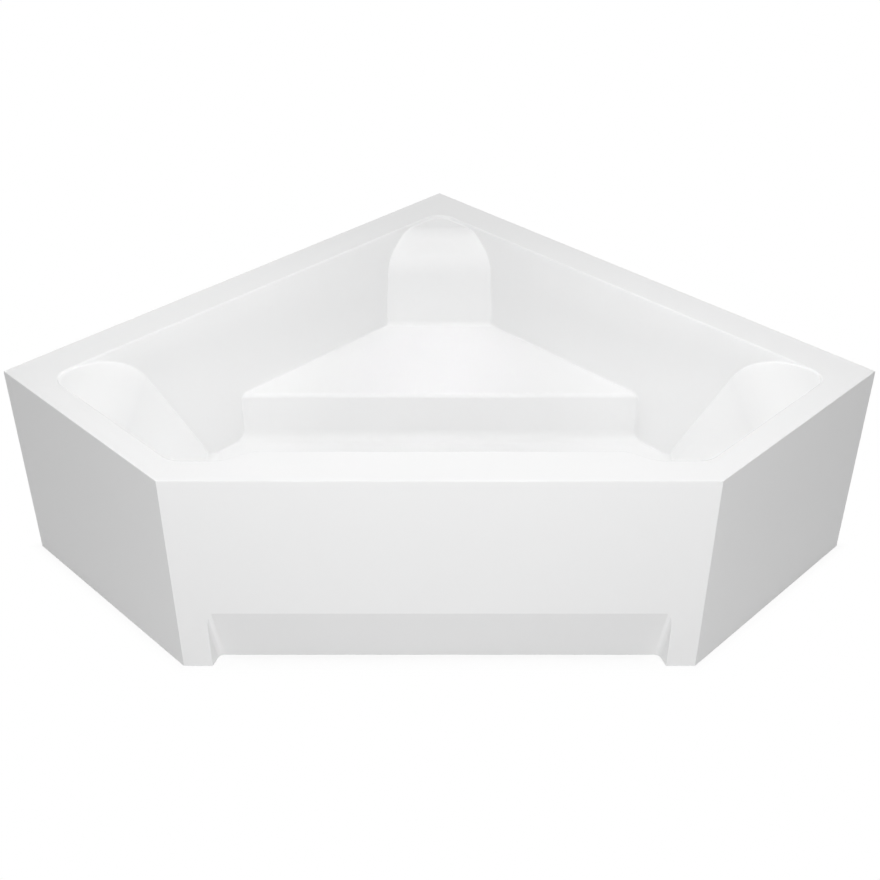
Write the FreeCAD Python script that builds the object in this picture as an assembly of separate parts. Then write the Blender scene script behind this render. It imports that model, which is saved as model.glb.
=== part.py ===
import FreeCAD, Part
import math
import os

# Corner bathtub with a moulded seat, three backrests and a one-piece apron on three sides.
# The tub hangs in a welded steel frame on levelling feet, and a knob on the overflow opens the waste.
# Units are millimetres. Origin: centre of the bounding box, on the floor.
# +Z is up, +Y points into the corner of the room, +X is to the right of someone facing that corner.

# ---- outline of the tub, seen from above ----
wall_side = 1400.0              # each side that stands against a wall
short_side = 596.0              # each side panel, square to its wall side
height = 510.0                  # floor to the top of the rim

# ---- rim and basin ----
rim_back = 94.5                 # rim width along the walls
rim_side = 61.0                 # rim width along the side panels
rim_front_end = 72.0            # rim width at the two ends of the front
rim_front = 107.0               # rim width along the middle of the front
front_shelf_inset = 181.5       # front corner of the tub to the wide part of the front rim
front_shelf_ease = 58.0         # length over which the wide part runs out at each end
basin_draft = 3.0               # degrees that the basin walls lean inwards
basin_floor = 110.0             # height of the basin floor
corner_round = 48.0             # vertical corners between two walls
front_corner_round = 60.0       # vertical corners at the two ends of the front
shelf_round = 80.0              # bends where the wide front part runs out
foot_round = 30.0               # where the slopes and the seat front meet the floor
blend_round = 5.0               # where floor, seat and backrests meet the walls
rim_edge_round = 4.0            # inner edge of the rim
rim_outer_round = 1.5           # outer edge of the rim

# ---- seat and backrests ----
seat_drop = 269.0               # seat below the rim
seat_depth = 668.0              # back corner of the tub to the front edge of the seat
seat_nose_round = 12.0
seat_front_lean = 4.0           # degrees, seat front out of upright
rest_drop = 10.0                # top of each backrest below the rim
back_rest_shoulder = 207.0      # back corner of the tub to the start of the shoulder
back_rest_rounds = (45.0, 58.0, 170.0, 30.0)     # shoulder: radius and turn, twice
back_rest_lumbar = (500.0, 8.0, 300.0)           # hollow radius, turn, bulge radius
back_rest_foot_round = 6.0
side_rest_shoulder = 145.0      # side corner of the tub to the start of the shoulder
side_rest_round = 150.0
side_rest_slope = 69.0          # degrees from level

# ---- walls of the shell ----
acrylic = 5.0
laminate = 3.0
lip_depth = 40.0                # turned-down edge along the two walls

# ---- apron ----
apron_wall = 6.0
toe_height = 155.0
toe_depth = 36.0
toe_leg = 64.5                  # left standing between a front corner and the recess
toe_end_taper = 11.0            # each end closes in by this much at the back of the recess
toe_round = 15.0

# ---- boards and battens bonded to the shell ----
board = 16.0
batten_thickness = 18.0
batten_wall_width = 60.0
batten_apron_width = 40.0
base_board_half_length = 540.0
base_board_back = -16.0         # y of its back edge
base_board_insets = (125.0, 95.0, 135.0)         # from the wall sides, side panels and front
seat_board_inset = 122.0        # from the wall sides
seat_board_front_gap = 12.0     # behind the seat front
seat_board_back_gap = 26.0      # in front of the backrest foot

# ---- frame of square steel tube ----
tube = 25.0
tube_wall = 2.0
frame_inset_wall = 20.0
frame_inset_side = 14.0
frame_inset_front = 40.0
floor_rail_x = 300.0
seat_rail_gap = 16.0            # behind the seat front
strut_x = 220.0
back_strut_y = 345.0

# ---- levelling feet ----
stud_radius = 6.0
stud_top = 72.0
stud_flats = 17.0
stud_flats_low = 14.0
stud_flats_height = 8.0
pad_flats = 34.0
pad_top_flats = 22.0
pad_height = 12.0
pad_edge = 5.0                  # height of the upright edge of the pad
pad_socket_floor = 5.0
nut_flats = 19.0
nut_height = 10.0
thread_clearance = 0.1
hole_clearance = 0.5

# ---- wall anchors ----
anchor_width = 40.0
anchor_strip = 2.5
anchor_drop = 66.0
anchor_hook = 13.0
anchor_hole_radius = 2.75
anchor_hole_below_lip = 40.0
anchor_places = (330.0, 1070.0)                  # along each wall side, from the back corner
seat_gap = 0.3                  # between pieces that hook or rest on each other

# ---- apron brackets ----
bracket_width = 30.0
bracket_strip = 2.5
bracket_leg = 34.0
bracket_hold = 20.0             # length lying on the frame tube
screw_shank_radius = 1.9
screw_head_radius = 4.0
screw_head_height = 2.4
screw_bite = 4.0                # length in the apron wall
screw_up = 20.0                 # screw above the foot of the bracket's leg
side_bracket_shares = (0.3, 0.7)                 # along each side panel
front_bracket_x = 400.0
front_bracket_rise = 20.0       # leg of the front brackets above the toe recess

# ---- waste ----
waste_y = -330.0
recess_radius = 36.0
recess_depth = 3.0
waste_hole_radius = 26.0
board_hole_radius = 52.0
gasket = 1.5
lower_gasket = 4.0
flange_radius = 34.5
flange_thickness = 2.0
flange_bevel = 1.0
throat_bevel = 1.5
neck_radius = 25.0
neck_wall = 2.0
neck_length = 30.0
spoke = 3.0
stem_radius = 4.0
stem_clearance = 0.05
hub_radius = 7.5
hub_height = 8.0
cup_wall = 2.5
cup_flange_radius = 37.0
cup_flange = 4.0
cup_bottom = 54.0
inlet_height = 71.0
inlet_length = 44.0             # cup axis to the mouth of the inlet
lever_shaft_radius = 3.0
lever_shaft_back = 17.0         # in front of the cup axis, towards the tub front
lever_shaft_height = 63.0
lever_arm = 17.0
lever_crank = 16.0              # height of the outer crank over its shaft
cable_stop = 14.0               # end of the cable in front of the crank
cable_lug = 3.0
plug_radius = 31.0
plug_edge = 2.0
plug_dome = 4.0                 # rise of the crown over the plug's edge
plug_crown_radius = 20.0        # where the crown changes its slope
plug_crown_share = 0.7          # part of the rise reached there
plug_gap = 0.8                  # plug rim above the flange when closed
seal_width = 5.0
seal_height = 4.0
stem_head = 3.0
trap_radius = 44.0
trap_bevel = 6.0
trap_nut_width = 9.0
trap_bottom = 6.0
trap_top = 52.0
trap_wall = 2.5
dip_radius = 17.0
dip_bottom = 16.0
outlet_radius = 20.0
outlet_height = 30.0
outlet_reach = 108.0            # trap axis to the mouth of the outlet
outlet_free = 40.0              # length of the spigot that takes the pipe
outlet_collar = 23.0            # radius of the collar where the spigot ends
outlet_turn = 45.0              # degrees, from straight back to square to the left wall

# ---- overflow ----
overflow_drop = 80.0            # centre below the rim
overflow_hole_radius = 24.0
face_radius = 30.0
face_thickness = 3.0
face_bevel = 1.0
face_slots = 6
slot_width = 7.0
slot_start = 11.0               # inner end of each slot from the axis
slot_end = 21.0
knob_radius = 33.0
knob_height = 20.0
knob_recess = 3.0               # hollow in its back
knob_rim = 3.0                  # wall around that hollow
knob_taper = 3.0
knob_bevel = 3.0
knob_lift = 1.0                 # between the knob and the face plate
knob_grips = 3
grip_radius = 16.5
grip_centre = 45.5              # centre of each finger hollow from the axis
spindle_radius = 4.0
sleeve_radius = 8.0
housing_radius = 33.0
housing_depth = 34.0
housing_wall = 2.5
drum_radius = 11.0
drum_thickness = 6.0
drum_gap = 3.0                  # behind the drum
pipe_radius = 13.5
pipe_wall = 1.8
pipe_bend = 40.0
pipe_into_housing = 3.0         # the pipe's top above the lowest point of the housing
pipe_before_back = 2.0          # housing back wall reaching over the pipe's bore
spout_down = 18.0               # spout of the housing below the pipe's top
spout_up = 6.0
gland_radius = 4.5
gland_down = 6.0
gland_up = 14.0
cable_radius = 2.5
cable_bend = 40.0
cable_x = 24.0                  # beside the pipe
cable_in_gland = 8.0
clip_heights = (190.0, 300.0)
clip_thickness = 2.0
clip_width = 10.0

# ---- derived sizes ----
diagonal = math.sqrt(0.5)
depth = (wall_side + short_side) * diagonal
back_y = depth / 2
front_y = -depth / 2
side_x = wall_side * diagonal
side_y = back_y - side_x
front_x = (wall_side - short_side) * diagonal
outline = [(0.0, back_y), (-side_x, side_y), (-front_x, front_y), (front_x, front_y), (side_x, side_y)]
side_names = ["back_left", "side_left", "front", "side_right", "back_right"]
corner_names = ["back", "left", "front_left", "front_right", "right"]

rim_under = height - acrylic
layer_under = rim_under - laminate
skin = acrylic + laminate
seat_height = height - seat_drop
seat_front_y = back_y - seat_depth
base_board_top = basin_floor - skin
base_board_bottom = base_board_top - board
frame_top = base_board_bottom
frame_bottom = frame_top - tube
half_tube = tube / 2
seat_rail_y = seat_front_y + skin + seat_rail_gap
seat_board_top = seat_height - skin
seat_board_bottom = seat_board_top - board
batten_bottom = layer_under - batten_thickness
draft_slope = math.tan(math.radians(basin_draft))
rest_lead = 100.0               # level part of each backrest outside its shoulder
bed_reach = side_x + rest_lead  # half length of the bed, past the walls
wall_depth = 50.0               # drafted walls below the basin floor, where the bed closes them
bed_depth = 2 * wall_depth      # underside of the bed below the basin floor
wall_low = basin_floor - wall_depth
bed_low = basin_floor - bed_depth


def vec(x, y, z=0.0):
    return FreeCAD.Vector(x, y, z)


def write(name, shape):
    solids = shape.Solids
    for solid in solids:
        if not solid.isValid() or solid.Volume <= 0:
            raise RuntimeError(name + " is not a sound solid")
    result = solids[0] if len(solids) == 1 else Part.makeCompound(solids)
    result.exportStep(os.path.join("parts", name + ".step"))
    print(f"{name:28s} solids {len(solids):2d}  volume {sum(s.Volume for s in solids) / 1000:10.1f} cm3")


# ---------------------------------------------------------------- outlines and simple solids

def unit_side(points, i):
    (x0, y0), (x1, y1) = points[i], points[(i + 1) % len(points)]
    length = math.hypot(x1 - x0, y1 - y0)
    return (x1 - x0) / length, (y1 - y0) / length, length


def inset(points, distances):
    # Moves each side of a counter-clockwise outline inwards by its own distance.
    lines = []
    for i, (x, y) in enumerate(points):
        dx, dy, _ = unit_side(points, i)
        lines.append((x - dy * distances[i], y + dx * distances[i], dx, dy))
    corners = []
    for i in range(len(points)):
        ax, ay, adx, ady = lines[i - 1]
        bx, by, bdx, bdy = lines[i]
        along = ((bx - ax) * bdy - (by - ay) * bdx) / (adx * bdy - ady * bdx)
        corners.append((ax + adx * along, ay + ady * along))
    return corners


def by_side(wall, side, front):
    return [wall, side, front, side, wall]


def prism(points, low, high):
    ring = [vec(x, y, low) for x, y in points]
    return Part.Face(Part.makePolygon(ring + ring[:1])).extrude(vec(0, 0, high - low))


def tapered(low_points, low, high_points, high):
    bottom = [vec(x, y, low) for x, y in low_points]
    top = [vec(x, y, high) for x, y in high_points]
    faces = [Part.Face(Part.makePolygon(bottom[::-1] + bottom[-1:]))]
    faces.append(Part.Face(Part.makePolygon(top + top[:1])))
    for i in range(len(bottom)):
        j = (i + 1) % len(bottom)
        faces.append(Part.Face(Part.makePolygon([bottom[i], bottom[j], top[j], top[i], bottom[i]])))
    return Part.Solid(Part.Shell(faces))


def block(x0, x1, y0, y1, z0, z1):
    return Part.makeBox(x1 - x0, y1 - y0, z1 - z0, vec(x0, y0, z0))


def cylinder(radius, low, high, x=0.0, y=0.0):
    return Part.makeCylinder(radius, high - low, vec(x, y, low))


def revolved(points, x=0.0, y=0.0):
    # Turns an (r, z) outline about a vertical axis.
    ring = [vec(x + r, y, z) for r, z in points]
    return Part.Face(Part.makePolygon(ring + ring[:1])).revolve(vec(x, y), vec(0, 0, 1), 360)


def hexagon(flats, x, y):
    radius = flats / 2 / math.cos(math.radians(30))
    return [(x + radius * math.cos(math.radians(60 * k)), y + radius * math.sin(math.radians(60 * k)))
            for k in range(6)]


def edge_at(shape, start, end):
    for edge in shape.Edges:
        a, b = edge.Vertexes[0].Point, edge.Vertexes[-1].Point
        if min((a - start).Length + (b - end).Length, (a - end).Length + (b - start).Length) < 0.01:
            return edge
    raise RuntimeError("no edge between the two points")


def rounded_path(start, heading, steps, shift, place):
    # A path of lines (length,) and arcs (radius, turn), moved sideways to its left by shift.
    angle = math.radians(heading)
    u = start[0] - math.sin(angle) * shift
    v = start[1] + math.cos(angle) * shift
    edges = []
    ends = [(u, v)]
    for step in steps:
        if len(step) == 1:
            nu = u + math.cos(angle) * step[0]
            nv = v + math.sin(angle) * step[0]
            edges.append(Part.makeLine(place(u, v), place(nu, nv)))
        else:
            turn = math.radians(step[1])
            side = 1 if turn > 0 else -1
            radius = (step[0] - side * shift) * side
            cu = u - math.sin(angle) * radius
            cv = v + math.cos(angle) * radius
            middle = angle + turn / 2
            angle += turn
            mu = cu + math.sin(middle) * radius
            mv = cv - math.cos(middle) * radius
            nu = cu + math.sin(angle) * radius
            nv = cv - math.cos(angle) * radius
            edges.append(Part.Arc(place(u, v), place(mu, mv), place(nu, nv)).toShape())
        u, v = nu, nv
        ends.append((u, v))
    return edges, ends


def closed_face(edges, corners, place):
    points = [place(*corner) for corner in corners]
    lines = [Part.makeLine(points[i], points[i + 1]) for i in range(len(points) - 1)]
    return Part.Face(Part.Wire(edges + lines))


def drop_of(radius, turn):
    return radius * (1 - math.cos(math.radians(turn)))


def run_of(radius, turn):
    return radius * math.sin(math.radians(turn))


# ---------------------------------------------------------------- the space inside the basin

def basin_opening():
    corners = inset(outline, by_side(rim_back, rim_side, rim_front_end))
    end_y = front_y + rim_front_end
    shelf_y = front_y + rim_front
    half = front_x - front_shelf_inset
    out = half + front_shelf_ease
    front = [(-out, end_y), (-half, shelf_y), (half, shelf_y), (out, end_y)]
    return corners[:3] + front + corners[3:]


def basin_walls(wall, top):
    # Drafted walls with rounded corners, moved outwards by wall. The radii follow.
    opening = basin_opening()
    outward = wall / math.cos(math.radians(basin_draft))

    def level(z):
        return inset(opening, [(height - z) * draft_slope - outward] * len(opening))

    low, high = level(wall_low), level(top)
    walls = tapered(low, wall_low, high, top)
    rounds = [corner_round, corner_round, front_corner_round, shelf_round, shelf_round]
    rounds = rounds + rounds[:2:-1] + [front_corner_round, corner_round]
    inward_bends = (4, 5)
    for i, radius in enumerate(rounds):
        edge = edge_at(walls, vec(*low[i], wall_low), vec(*high[i], top))
        moved = radius - wall if i in inward_bends else radius + wall
        walls = walls.makeFillet(moved, [edge]).Solids[0]
    return walls


def side_bed(wall):
    # Both side backrests and the floor between them: one profile, drawn from left to right.
    def place(u, v):
        return vec(u, -bed_reach, v)

    top = height - rest_drop
    corner_x = -side_x
    fall = top - basin_floor
    fall -= drop_of(side_rest_round, side_rest_slope) + drop_of(foot_round, side_rest_slope)
    slope = fall / math.sin(math.radians(side_rest_slope))
    half_floor = -(corner_x + side_rest_shoulder + run_of(side_rest_round, side_rest_slope)
                   + slope * math.cos(math.radians(side_rest_slope)) + run_of(foot_round, side_rest_slope))
    down = [(rest_lead,), (side_rest_round, -side_rest_slope), (slope,), (foot_round, side_rest_slope)]
    steps = down + [(2 * half_floor,)] + down[::-1]
    start = (corner_x + side_rest_shoulder - rest_lead, top)
    edges, ends = rounded_path(start, 0, steps, -wall, place)
    first, last = ends[0], ends[-1]
    face = closed_face(edges, [last, (last[0], bed_low), (first[0], bed_low), first], place)
    return face.extrude(vec(0, 2 * bed_reach, 0))


def back_rest_steps():
    first_round, first_turn, second_round, second_turn = back_rest_rounds
    hollow, sway, bulge = back_rest_lumbar
    shoulder = [(rest_lead,), (first_round, first_turn), (second_round, second_turn)]
    return shoulder + [(hollow, -sway), (bulge, sway)]


def back_rest_start():
    return (back_y - back_rest_shoulder + rest_lead, height - rest_drop)


def back_bed(wall):
    # The back-corner backrest and the seat: one profile, drawn from the corner to the front.
    def place(u, v):
        return vec(-bed_reach, u, v)

    steps = back_rest_steps()
    steepness = math.radians(back_rest_rounds[1] + back_rest_rounds[3])
    _, ends = rounded_path(back_rest_start(), 180, steps, 0, place)
    fall = ends[-1][1] - seat_height - back_rest_foot_round * (1 - math.cos(steepness))
    steps += [(fall / math.sin(steepness),), (back_rest_foot_round, -math.degrees(steepness))]
    _, ends = rounded_path(back_rest_start(), 180, steps, 0, place)
    nose_turn = 90 - seat_front_lean
    nose_reach = seat_nose_round * math.tan(math.radians(nose_turn / 2))
    front_fall = seat_height - basin_floor
    front_fall -= drop_of(seat_nose_round, nose_turn) + drop_of(foot_round, nose_turn)
    steps += [(ends[-1][0] - seat_front_y - nose_reach,), (seat_nose_round, nose_turn)]
    steps += [(front_fall / math.sin(math.radians(nose_turn)),), (foot_round, -nose_turn), (rest_lead,)]
    edges, ends = rounded_path(back_rest_start(), 180, steps, wall, place)
    first, last = ends[0], ends[-1]
    far = [last, (last[0], bed_low), (bed_reach, bed_low), (bed_reach, first[1]), first]
    return closed_face(edges, far, place).extrude(vec(2 * bed_reach, 0, 0))


def touches(face, others):
    u0, u1, v0, v1 = face.ParameterRange
    point = face.CenterOfMass
    for share_u in (0.5, 0.3, 0.7, 0.1, 0.9):
        for share_v in (0.5, 0.3, 0.7, 0.1, 0.9):
            trial = face.valueAt(u0 + (u1 - u0) * share_u, v0 + (v1 - v0) * share_v)
            if face.isInside(trial, 0.001, True):
                point = trial
    vertex = Part.Vertex(point)
    return min(vertex.distToShape(other)[0] for other in others) < 0.0001


def seam(space, beds, top):
    # The closed line where the walls of the basin meet the faces of the beds.
    def among(item, others):
        return any(item.isSame(other) for other in others)

    sides = [face for face in space.Faces if abs(face.CenterOfMass.z - top) > 0.1]
    bed_faces = [face for face in sides if touches(face, beds)]
    wall_faces = [face for face in sides if not among(face, bed_faces)]
    bed_edges = [edge for face in bed_faces for edge in face.Edges]
    wall_edges = [edge for face in wall_faces for edge in face.Edges]
    return [edge for edge in space.Edges if among(edge, bed_edges) and among(edge, wall_edges)]


def basin(wall, top, blend):
    # The space inside the basin, moved outwards by wall. A blend of 0 leaves the seam sharp.
    beds = [side_bed(wall), back_bed(wall)]
    space = basin_walls(wall, top).cut(beds[0]).cut(beds[1]).removeSplitter().Solids[0]
    if blend > 0:
        faces = beds[0].Faces + beds[1].Faces
        space = space.makeFillet(blend, seam(space, faces, top)).Solids[0]
    dish = cylinder(recess_radius + wall, basin_floor - recess_depth - wall, basin_floor + 1, 0, waste_y)
    return space.fuse(dish).removeSplitter().Solids[0]


# ---------------------------------------------------------------- directions at the overflow

overflow_z = height - overflow_drop
overflow_y = front_y + rim_front + overflow_drop * draft_slope
into_tub = vec(0, math.cos(math.radians(basin_draft)), math.sin(math.radians(basin_draft)))


def on_overflow(radius, start, end):
    # A cylinder on the overflow axis; distances run from the wall's inner face into the tub.
    base = vec(0, overflow_y, overflow_z) + into_tub * start
    return Part.makeCylinder(radius, end - start, base, into_tub)


def turned_on_overflow(points):
    base = vec(0, overflow_y, overflow_z)
    ring = [base + into_tub * s + vec(r, 0, 0) for r, s in points]
    return Part.Face(Part.makePolygon(ring + ring[:1])).revolve(base, into_tub, 360)


# ---------------------------------------------------------------- shell, laminate and apron

shell_space = basin(0.0, height + lip_depth, blend_round)
outer_space = basin(acrylic, height - rim_outer_round, 0)
laminate_space = basin(skin, height - rim_outer_round, 0)
waste_hole = cylinder(waste_hole_radius, basin_floor - 3 * skin, basin_floor + skin, 0, waste_y)
overflow_hole = on_overflow(overflow_hole_radius, -3 * skin, skin)


def top_border(shell):
    corners = [vec(x, y, height) for x, y in outline]
    return [edge_at(shell, corners[i - 1], corners[i]) for i in range(5)]


def tub_shell():
    lip = prism(outline, rim_under - lip_depth, rim_under)
    lip = lip.cut(prism(inset(outline, by_side(acrylic, -acrylic, -acrylic)), 0, height))
    lip = lip.common(prism(inset(outline, by_side(-acrylic, apron_wall, apron_wall)), 0, height))
    shell = prism(outline, rim_under, height).fuse([lip, outer_space]).cut(shell_space)
    shell = shell.removeSplitter().Solids[0]
    on_top = [edge for edge in shell.Edges if edge.BoundBox.ZMin > height - 0.01]
    border = top_border(shell)
    inner = [edge for edge in on_top if not any(edge.isSame(other) for other in border)]
    shell = shell.makeFillet(rim_edge_round, inner).Solids[0]
    shell = shell.makeFillet(rim_outer_round, top_border(shell)).Solids[0]
    return shell.cut([waste_hole, overflow_hole])


def shell_backing():
    layer = prism(inset(outline, by_side(acrylic, apron_wall, apron_wall)), layer_under, rim_under)
    skin_space = laminate_space.cut(prism(inset(outline, [-acrylic] * 5), rim_under, 2 * height))
    return layer.fuse(skin_space).cut([outer_space, waste_hole, overflow_hole]).removeSplitter()


def toe_wedge(offset):
    # The slanted toe recess, moved outwards by offset from its faces.
    slant = math.hypot(toe_height, toe_depth)
    rise = toe_height / toe_depth
    lift = offset * slant / toe_depth
    ahead = 40.0
    below = 20.0
    reach = toe_depth + below / rise + lift / rise
    profile = [(front_y - ahead, -below), (front_y - ahead, toe_height + lift + ahead * rise),
               (front_y + reach, -below)]
    ring = [vec(-front_x, y, z) for y, z in profile]
    wedge = Part.Face(Part.makePolygon(ring + ring[:1])).extrude(vec(2 * front_x, 0, 0))
    taper = toe_end_taper / toe_depth
    side_offset = offset * math.hypot(1, taper)
    half_toe = front_x - toe_leg + side_offset
    half_front = half_toe + ahead * taper
    half_back = half_toe - 2 * reach * taper
    plan = [(-half_front, front_y - ahead), (half_front, front_y - ahead),
            (half_back, front_y + 2 * reach), (-half_back, front_y + 2 * reach)]
    wedge = wedge.common(prism(plan, -below, 3 * height)).Solids[0]
    corners = []
    for edge in wedge.Edges:
        box = edge.BoundBox
        if box.YLength > 1 and box.ZLength > 1 and box.XLength > 1:
            corners.append(edge)
    return wedge.makeFillet(toe_round + offset, corners)


def apron():
    outside = prism(outline, 0, rim_under).cut(toe_wedge(0.0))
    inside = prism(inset(outline, by_side(-apron_wall, apron_wall, apron_wall)), -apron_wall, height)
    inside = inside.cut(toe_wedge(apron_wall))
    return outside.cut([inside] + screws())


# ---------------------------------------------------------------- boards and battens

def base_board():
    plan = prism(inset(outline, by_side(*base_board_insets)), base_board_bottom, base_board_top)
    cut = block(-base_board_half_length, base_board_half_length, front_y, base_board_back, 0, height)
    return plan.common(cut).cut(cylinder(board_hole_radius, 0, height, 0, waste_y))


def seat_board():
    plan = prism(inset(outline, by_side(seat_board_inset, 0, 0)), seat_board_bottom, seat_board_top)
    back = back_y - back_rest_shoulder - run_of(*back_rest_rounds[:2]) - seat_board_back_gap - 2 * tube
    return plan.common(block(-side_x, side_x, seat_front_y + skin + seat_board_front_gap, back, 0, height))


def ring_piece(outer, inner, i, low, high):
    j = (i + 1) % len(outer)
    return prism([outer[i], outer[j], inner[j], inner[i]], low, high)


def battens():
    outer = inset(outline, by_side(skin, apron_wall, apron_wall))
    wall_in = skin + batten_wall_width
    apron_in = apron_wall + batten_apron_width
    inner = inset(outline, by_side(wall_in, apron_in, apron_in))
    for i, name in enumerate(side_names):
        yield "rim_batten_" + name, ring_piece(outer, inner, i, batten_bottom, layer_under)


# ---------------------------------------------------------------- steel frame

def frame_line(extra):
    insets = by_side(frame_inset_wall, frame_inset_side, frame_inset_front)
    return inset(outline, [distance + extra for distance in insets])


def square_tube(x, y, low, high, angle):
    half = tube / 2
    outer = block(-half, half, -half, half, low, high)
    inner = block(-half + tube_wall, half - tube_wall, -half + tube_wall, half - tube_wall, low - 1, high + 1)
    post = outer.cut(inner)
    post.rotate(vec(0, 0), vec(0, 0, 1), angle)
    post.translate(vec(x, y))
    return post


def corner_centre(i):
    outer, inner = frame_line(0)[i], frame_line(tube)[i]
    return (outer[0] + inner[0]) / 2, (outer[1] + inner[1]) / 2


def feet_places():
    corners = [(corner_names[i],) + corner_centre(i) for i in range(5)]
    return corners + [("middle", 0.0, seat_rail_y + half_tube)]


def stud_holes():
    return [cylinder(stud_radius + hole_clearance, frame_bottom - 1, frame_bottom + tube_wall + 1, x, y)
            for _, x, y in feet_places()]


def ring_rails():
    holes = stud_holes()
    for i, name in enumerate(side_names):
        rail = ring_piece(frame_line(0), frame_line(tube), i, frame_bottom, frame_top)
        bore = ring_piece(frame_line(tube_wall), frame_line(tube - tube_wall), i,
                          frame_bottom + tube_wall, frame_top - tube_wall)
        yield "frame_rail_" + name, rail.cut([bore] + holes)


def inner_rail(x0, x1, y0, y1):
    # A straight tube cut to the inside of the ring; its bore follows its longer side.
    shape = block(x0, x1, y0, y1, frame_bottom, frame_top)
    low, high = frame_bottom + tube_wall, frame_top - tube_wall
    if x1 - x0 > y1 - y0:
        bore = block(x0 - 1, x1 + 1, y0 + tube_wall, y1 - tube_wall, low, high)
    else:
        bore = block(x0 + tube_wall, x1 - tube_wall, y0 - 1, y1 + 1, low, high)
    return shape.common(prism(frame_line(tube), 0, height)).cut([bore] + stud_holes())


def floor_rails():
    for name, x in (("left", -floor_rail_x), ("right", floor_rail_x)):
        yield "frame_floor_rail_" + name, inner_rail(x - half_tube, x + half_tube, front_y, seat_rail_y)


def seat_rail():
    return inner_rail(-side_x, side_x, seat_rail_y, seat_rail_y + tube)


def spine_rail():
    return inner_rail(-half_tube, half_tube, seat_rail_y + tube, back_y)


def corner_posts():
    angles = (45, 45, 0, 0, 45)
    for i, name in enumerate(corner_names):
        x, y = corner_centre(i)
        yield "frame_post_" + name, square_tube(x, y, frame_top, batten_bottom, angles[i])


def seat_struts():
    front = seat_rail_y + half_tube
    places = ((-strut_x, front), (strut_x, front), (0, back_strut_y))
    return Part.makeCompound([square_tube(x, y, frame_top, seat_board_bottom, 0) for x, y in places])


# ---------------------------------------------------------------- levelling feet

def foot_stud(x, y):
    flats = prism(hexagon(stud_flats, x, y), stud_flats_low, stud_flats_low + stud_flats_height)
    return cylinder(stud_radius, pad_socket_floor, stud_top, x, y).fuse(flats).removeSplitter()


def foot_pad(x, y):
    wide = hexagon(pad_flats, x, y)
    crown = tapered(wide, pad_edge, hexagon(pad_top_flats, x, y), pad_height)
    socket = cylinder(stud_radius, pad_socket_floor, pad_height + 1, x, y)
    return prism(wide, 0, pad_edge).fuse(crown).cut(socket).removeSplitter()


def foot_nuts():
    nuts = []
    for _, x, y in feet_places():
        nut = prism(hexagon(nut_flats, x, y), frame_bottom - nut_height, frame_bottom)
        bore = cylinder(stud_radius + thread_clearance, 0, frame_bottom + 1, x, y)
        nuts.append(nut.cut(bore))
    return Part.makeCompound(nuts)


# ---------------------------------------------------------------- wall anchors and apron brackets

def strip_on_side(side, along, profile, width):
    # Extrudes a (distance from the side, z) outline over width, centred at a place along a side.
    x0, y0 = outline[side]
    dx, dy, _ = unit_side(outline, side)
    start = along - width / 2
    ring = [vec(x0 + dx * start - dy * d, y0 + dy * start + dx * d, z) for d, z in profile]
    return Part.Face(Part.makePolygon(ring + ring[:1])).extrude(vec(dx * width, dy * width, 0))


def rod_on_side(side, along, z, start, end, radius):
    x0, y0 = outline[side]
    dx, dy, _ = unit_side(outline, side)
    base = vec(x0 + dx * along - dy * start, y0 + dy * along + dx * start, z)
    return Part.makeCylinder(radius, end - start, base, vec(-dy, dx, 0))


def wall_anchors():
    step = rim_under - lip_depth - seat_gap
    inner = acrylic + seat_gap
    outer = inner + anchor_strip
    foot = [(0, step - anchor_drop), (anchor_strip, step - anchor_drop), (anchor_strip, step - anchor_strip)]
    hook = [(outer, step - anchor_strip), (outer, step + anchor_hook), (inner, step + anchor_hook)]
    profile = foot + hook + [(inner, step), (0, step)]
    hole_z = rim_under - lip_depth - anchor_hole_below_lip
    anchors = []
    for side, places in ((0, anchor_places), (4, [wall_side - place for place in anchor_places])):
        for along in places:
            clip = strip_on_side(side, along, profile, anchor_width)
            hole = rod_on_side(side, along, hole_z, -1, anchor_strip + 1, anchor_hole_radius)
            anchors.append(clip.cut(hole))
    return Part.makeCompound(anchors)


front_side = side_names.index("front")


def bracket_places():
    # Side and place along it.
    places = [(front_side, front_x - front_bracket_x), (front_side, front_x + front_bracket_x)]
    return places + [(side, short_side * share) for side in (1, 3) for share in side_bracket_shares]


def bracket_step(side):
    return toe_height + front_bracket_rise if side == front_side else frame_top


def bracket_profile(side):
    # A foot on the frame tube and a leg against the apron. In front a riser clears the toe recess.
    near = apron_wall
    thick = bracket_strip
    step = bracket_step(side)
    if side == front_side:
        rail = frame_inset_front
        end = rail + bracket_hold
        foot = [(near, step), (rail, step), (rail, frame_top), (end, frame_top), (end, frame_top + thick),
                (rail + thick, frame_top + thick), (rail + thick, step + thick)]
    else:
        end = frame_inset_side + bracket_hold
        foot = [(near, step), (end, step), (end, step + thick)]
    leg = [(near + thick, step + thick), (near + thick, step + bracket_leg), (near, step + bracket_leg)]
    return foot + leg


def screw(side, along):
    z = bracket_step(side) + screw_up
    head = apron_wall + bracket_strip
    shank = rod_on_side(side, along, z, apron_wall - screw_bite, head, screw_shank_radius)
    cap = rod_on_side(side, along, z, head, head + screw_head_height, screw_head_radius)
    return shank.fuse(cap).removeSplitter()


def screws():
    return [screw(*place) for place in bracket_places()]


def apron_brackets():
    brackets = []
    for side, along in bracket_places():
        brackets.append(strip_on_side(side, along, bracket_profile(side), bracket_width))
    return Part.makeCompound(brackets).cut(screws())


def apron_screws():
    return Part.makeCompound(screws())


# ---------------------------------------------------------------- waste

dish_floor = basin_floor - recess_depth
flange_bottom = dish_floor + gasket
dish_under = dish_floor - skin
cup_top = dish_under - lower_gasket
plug_bottom = flange_bottom + flange_thickness + plug_gap
stem_foot = lever_shaft_height + lever_shaft_radius + seat_gap
throat = neck_radius - neck_wall
seal_bore = throat - seal_width


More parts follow.
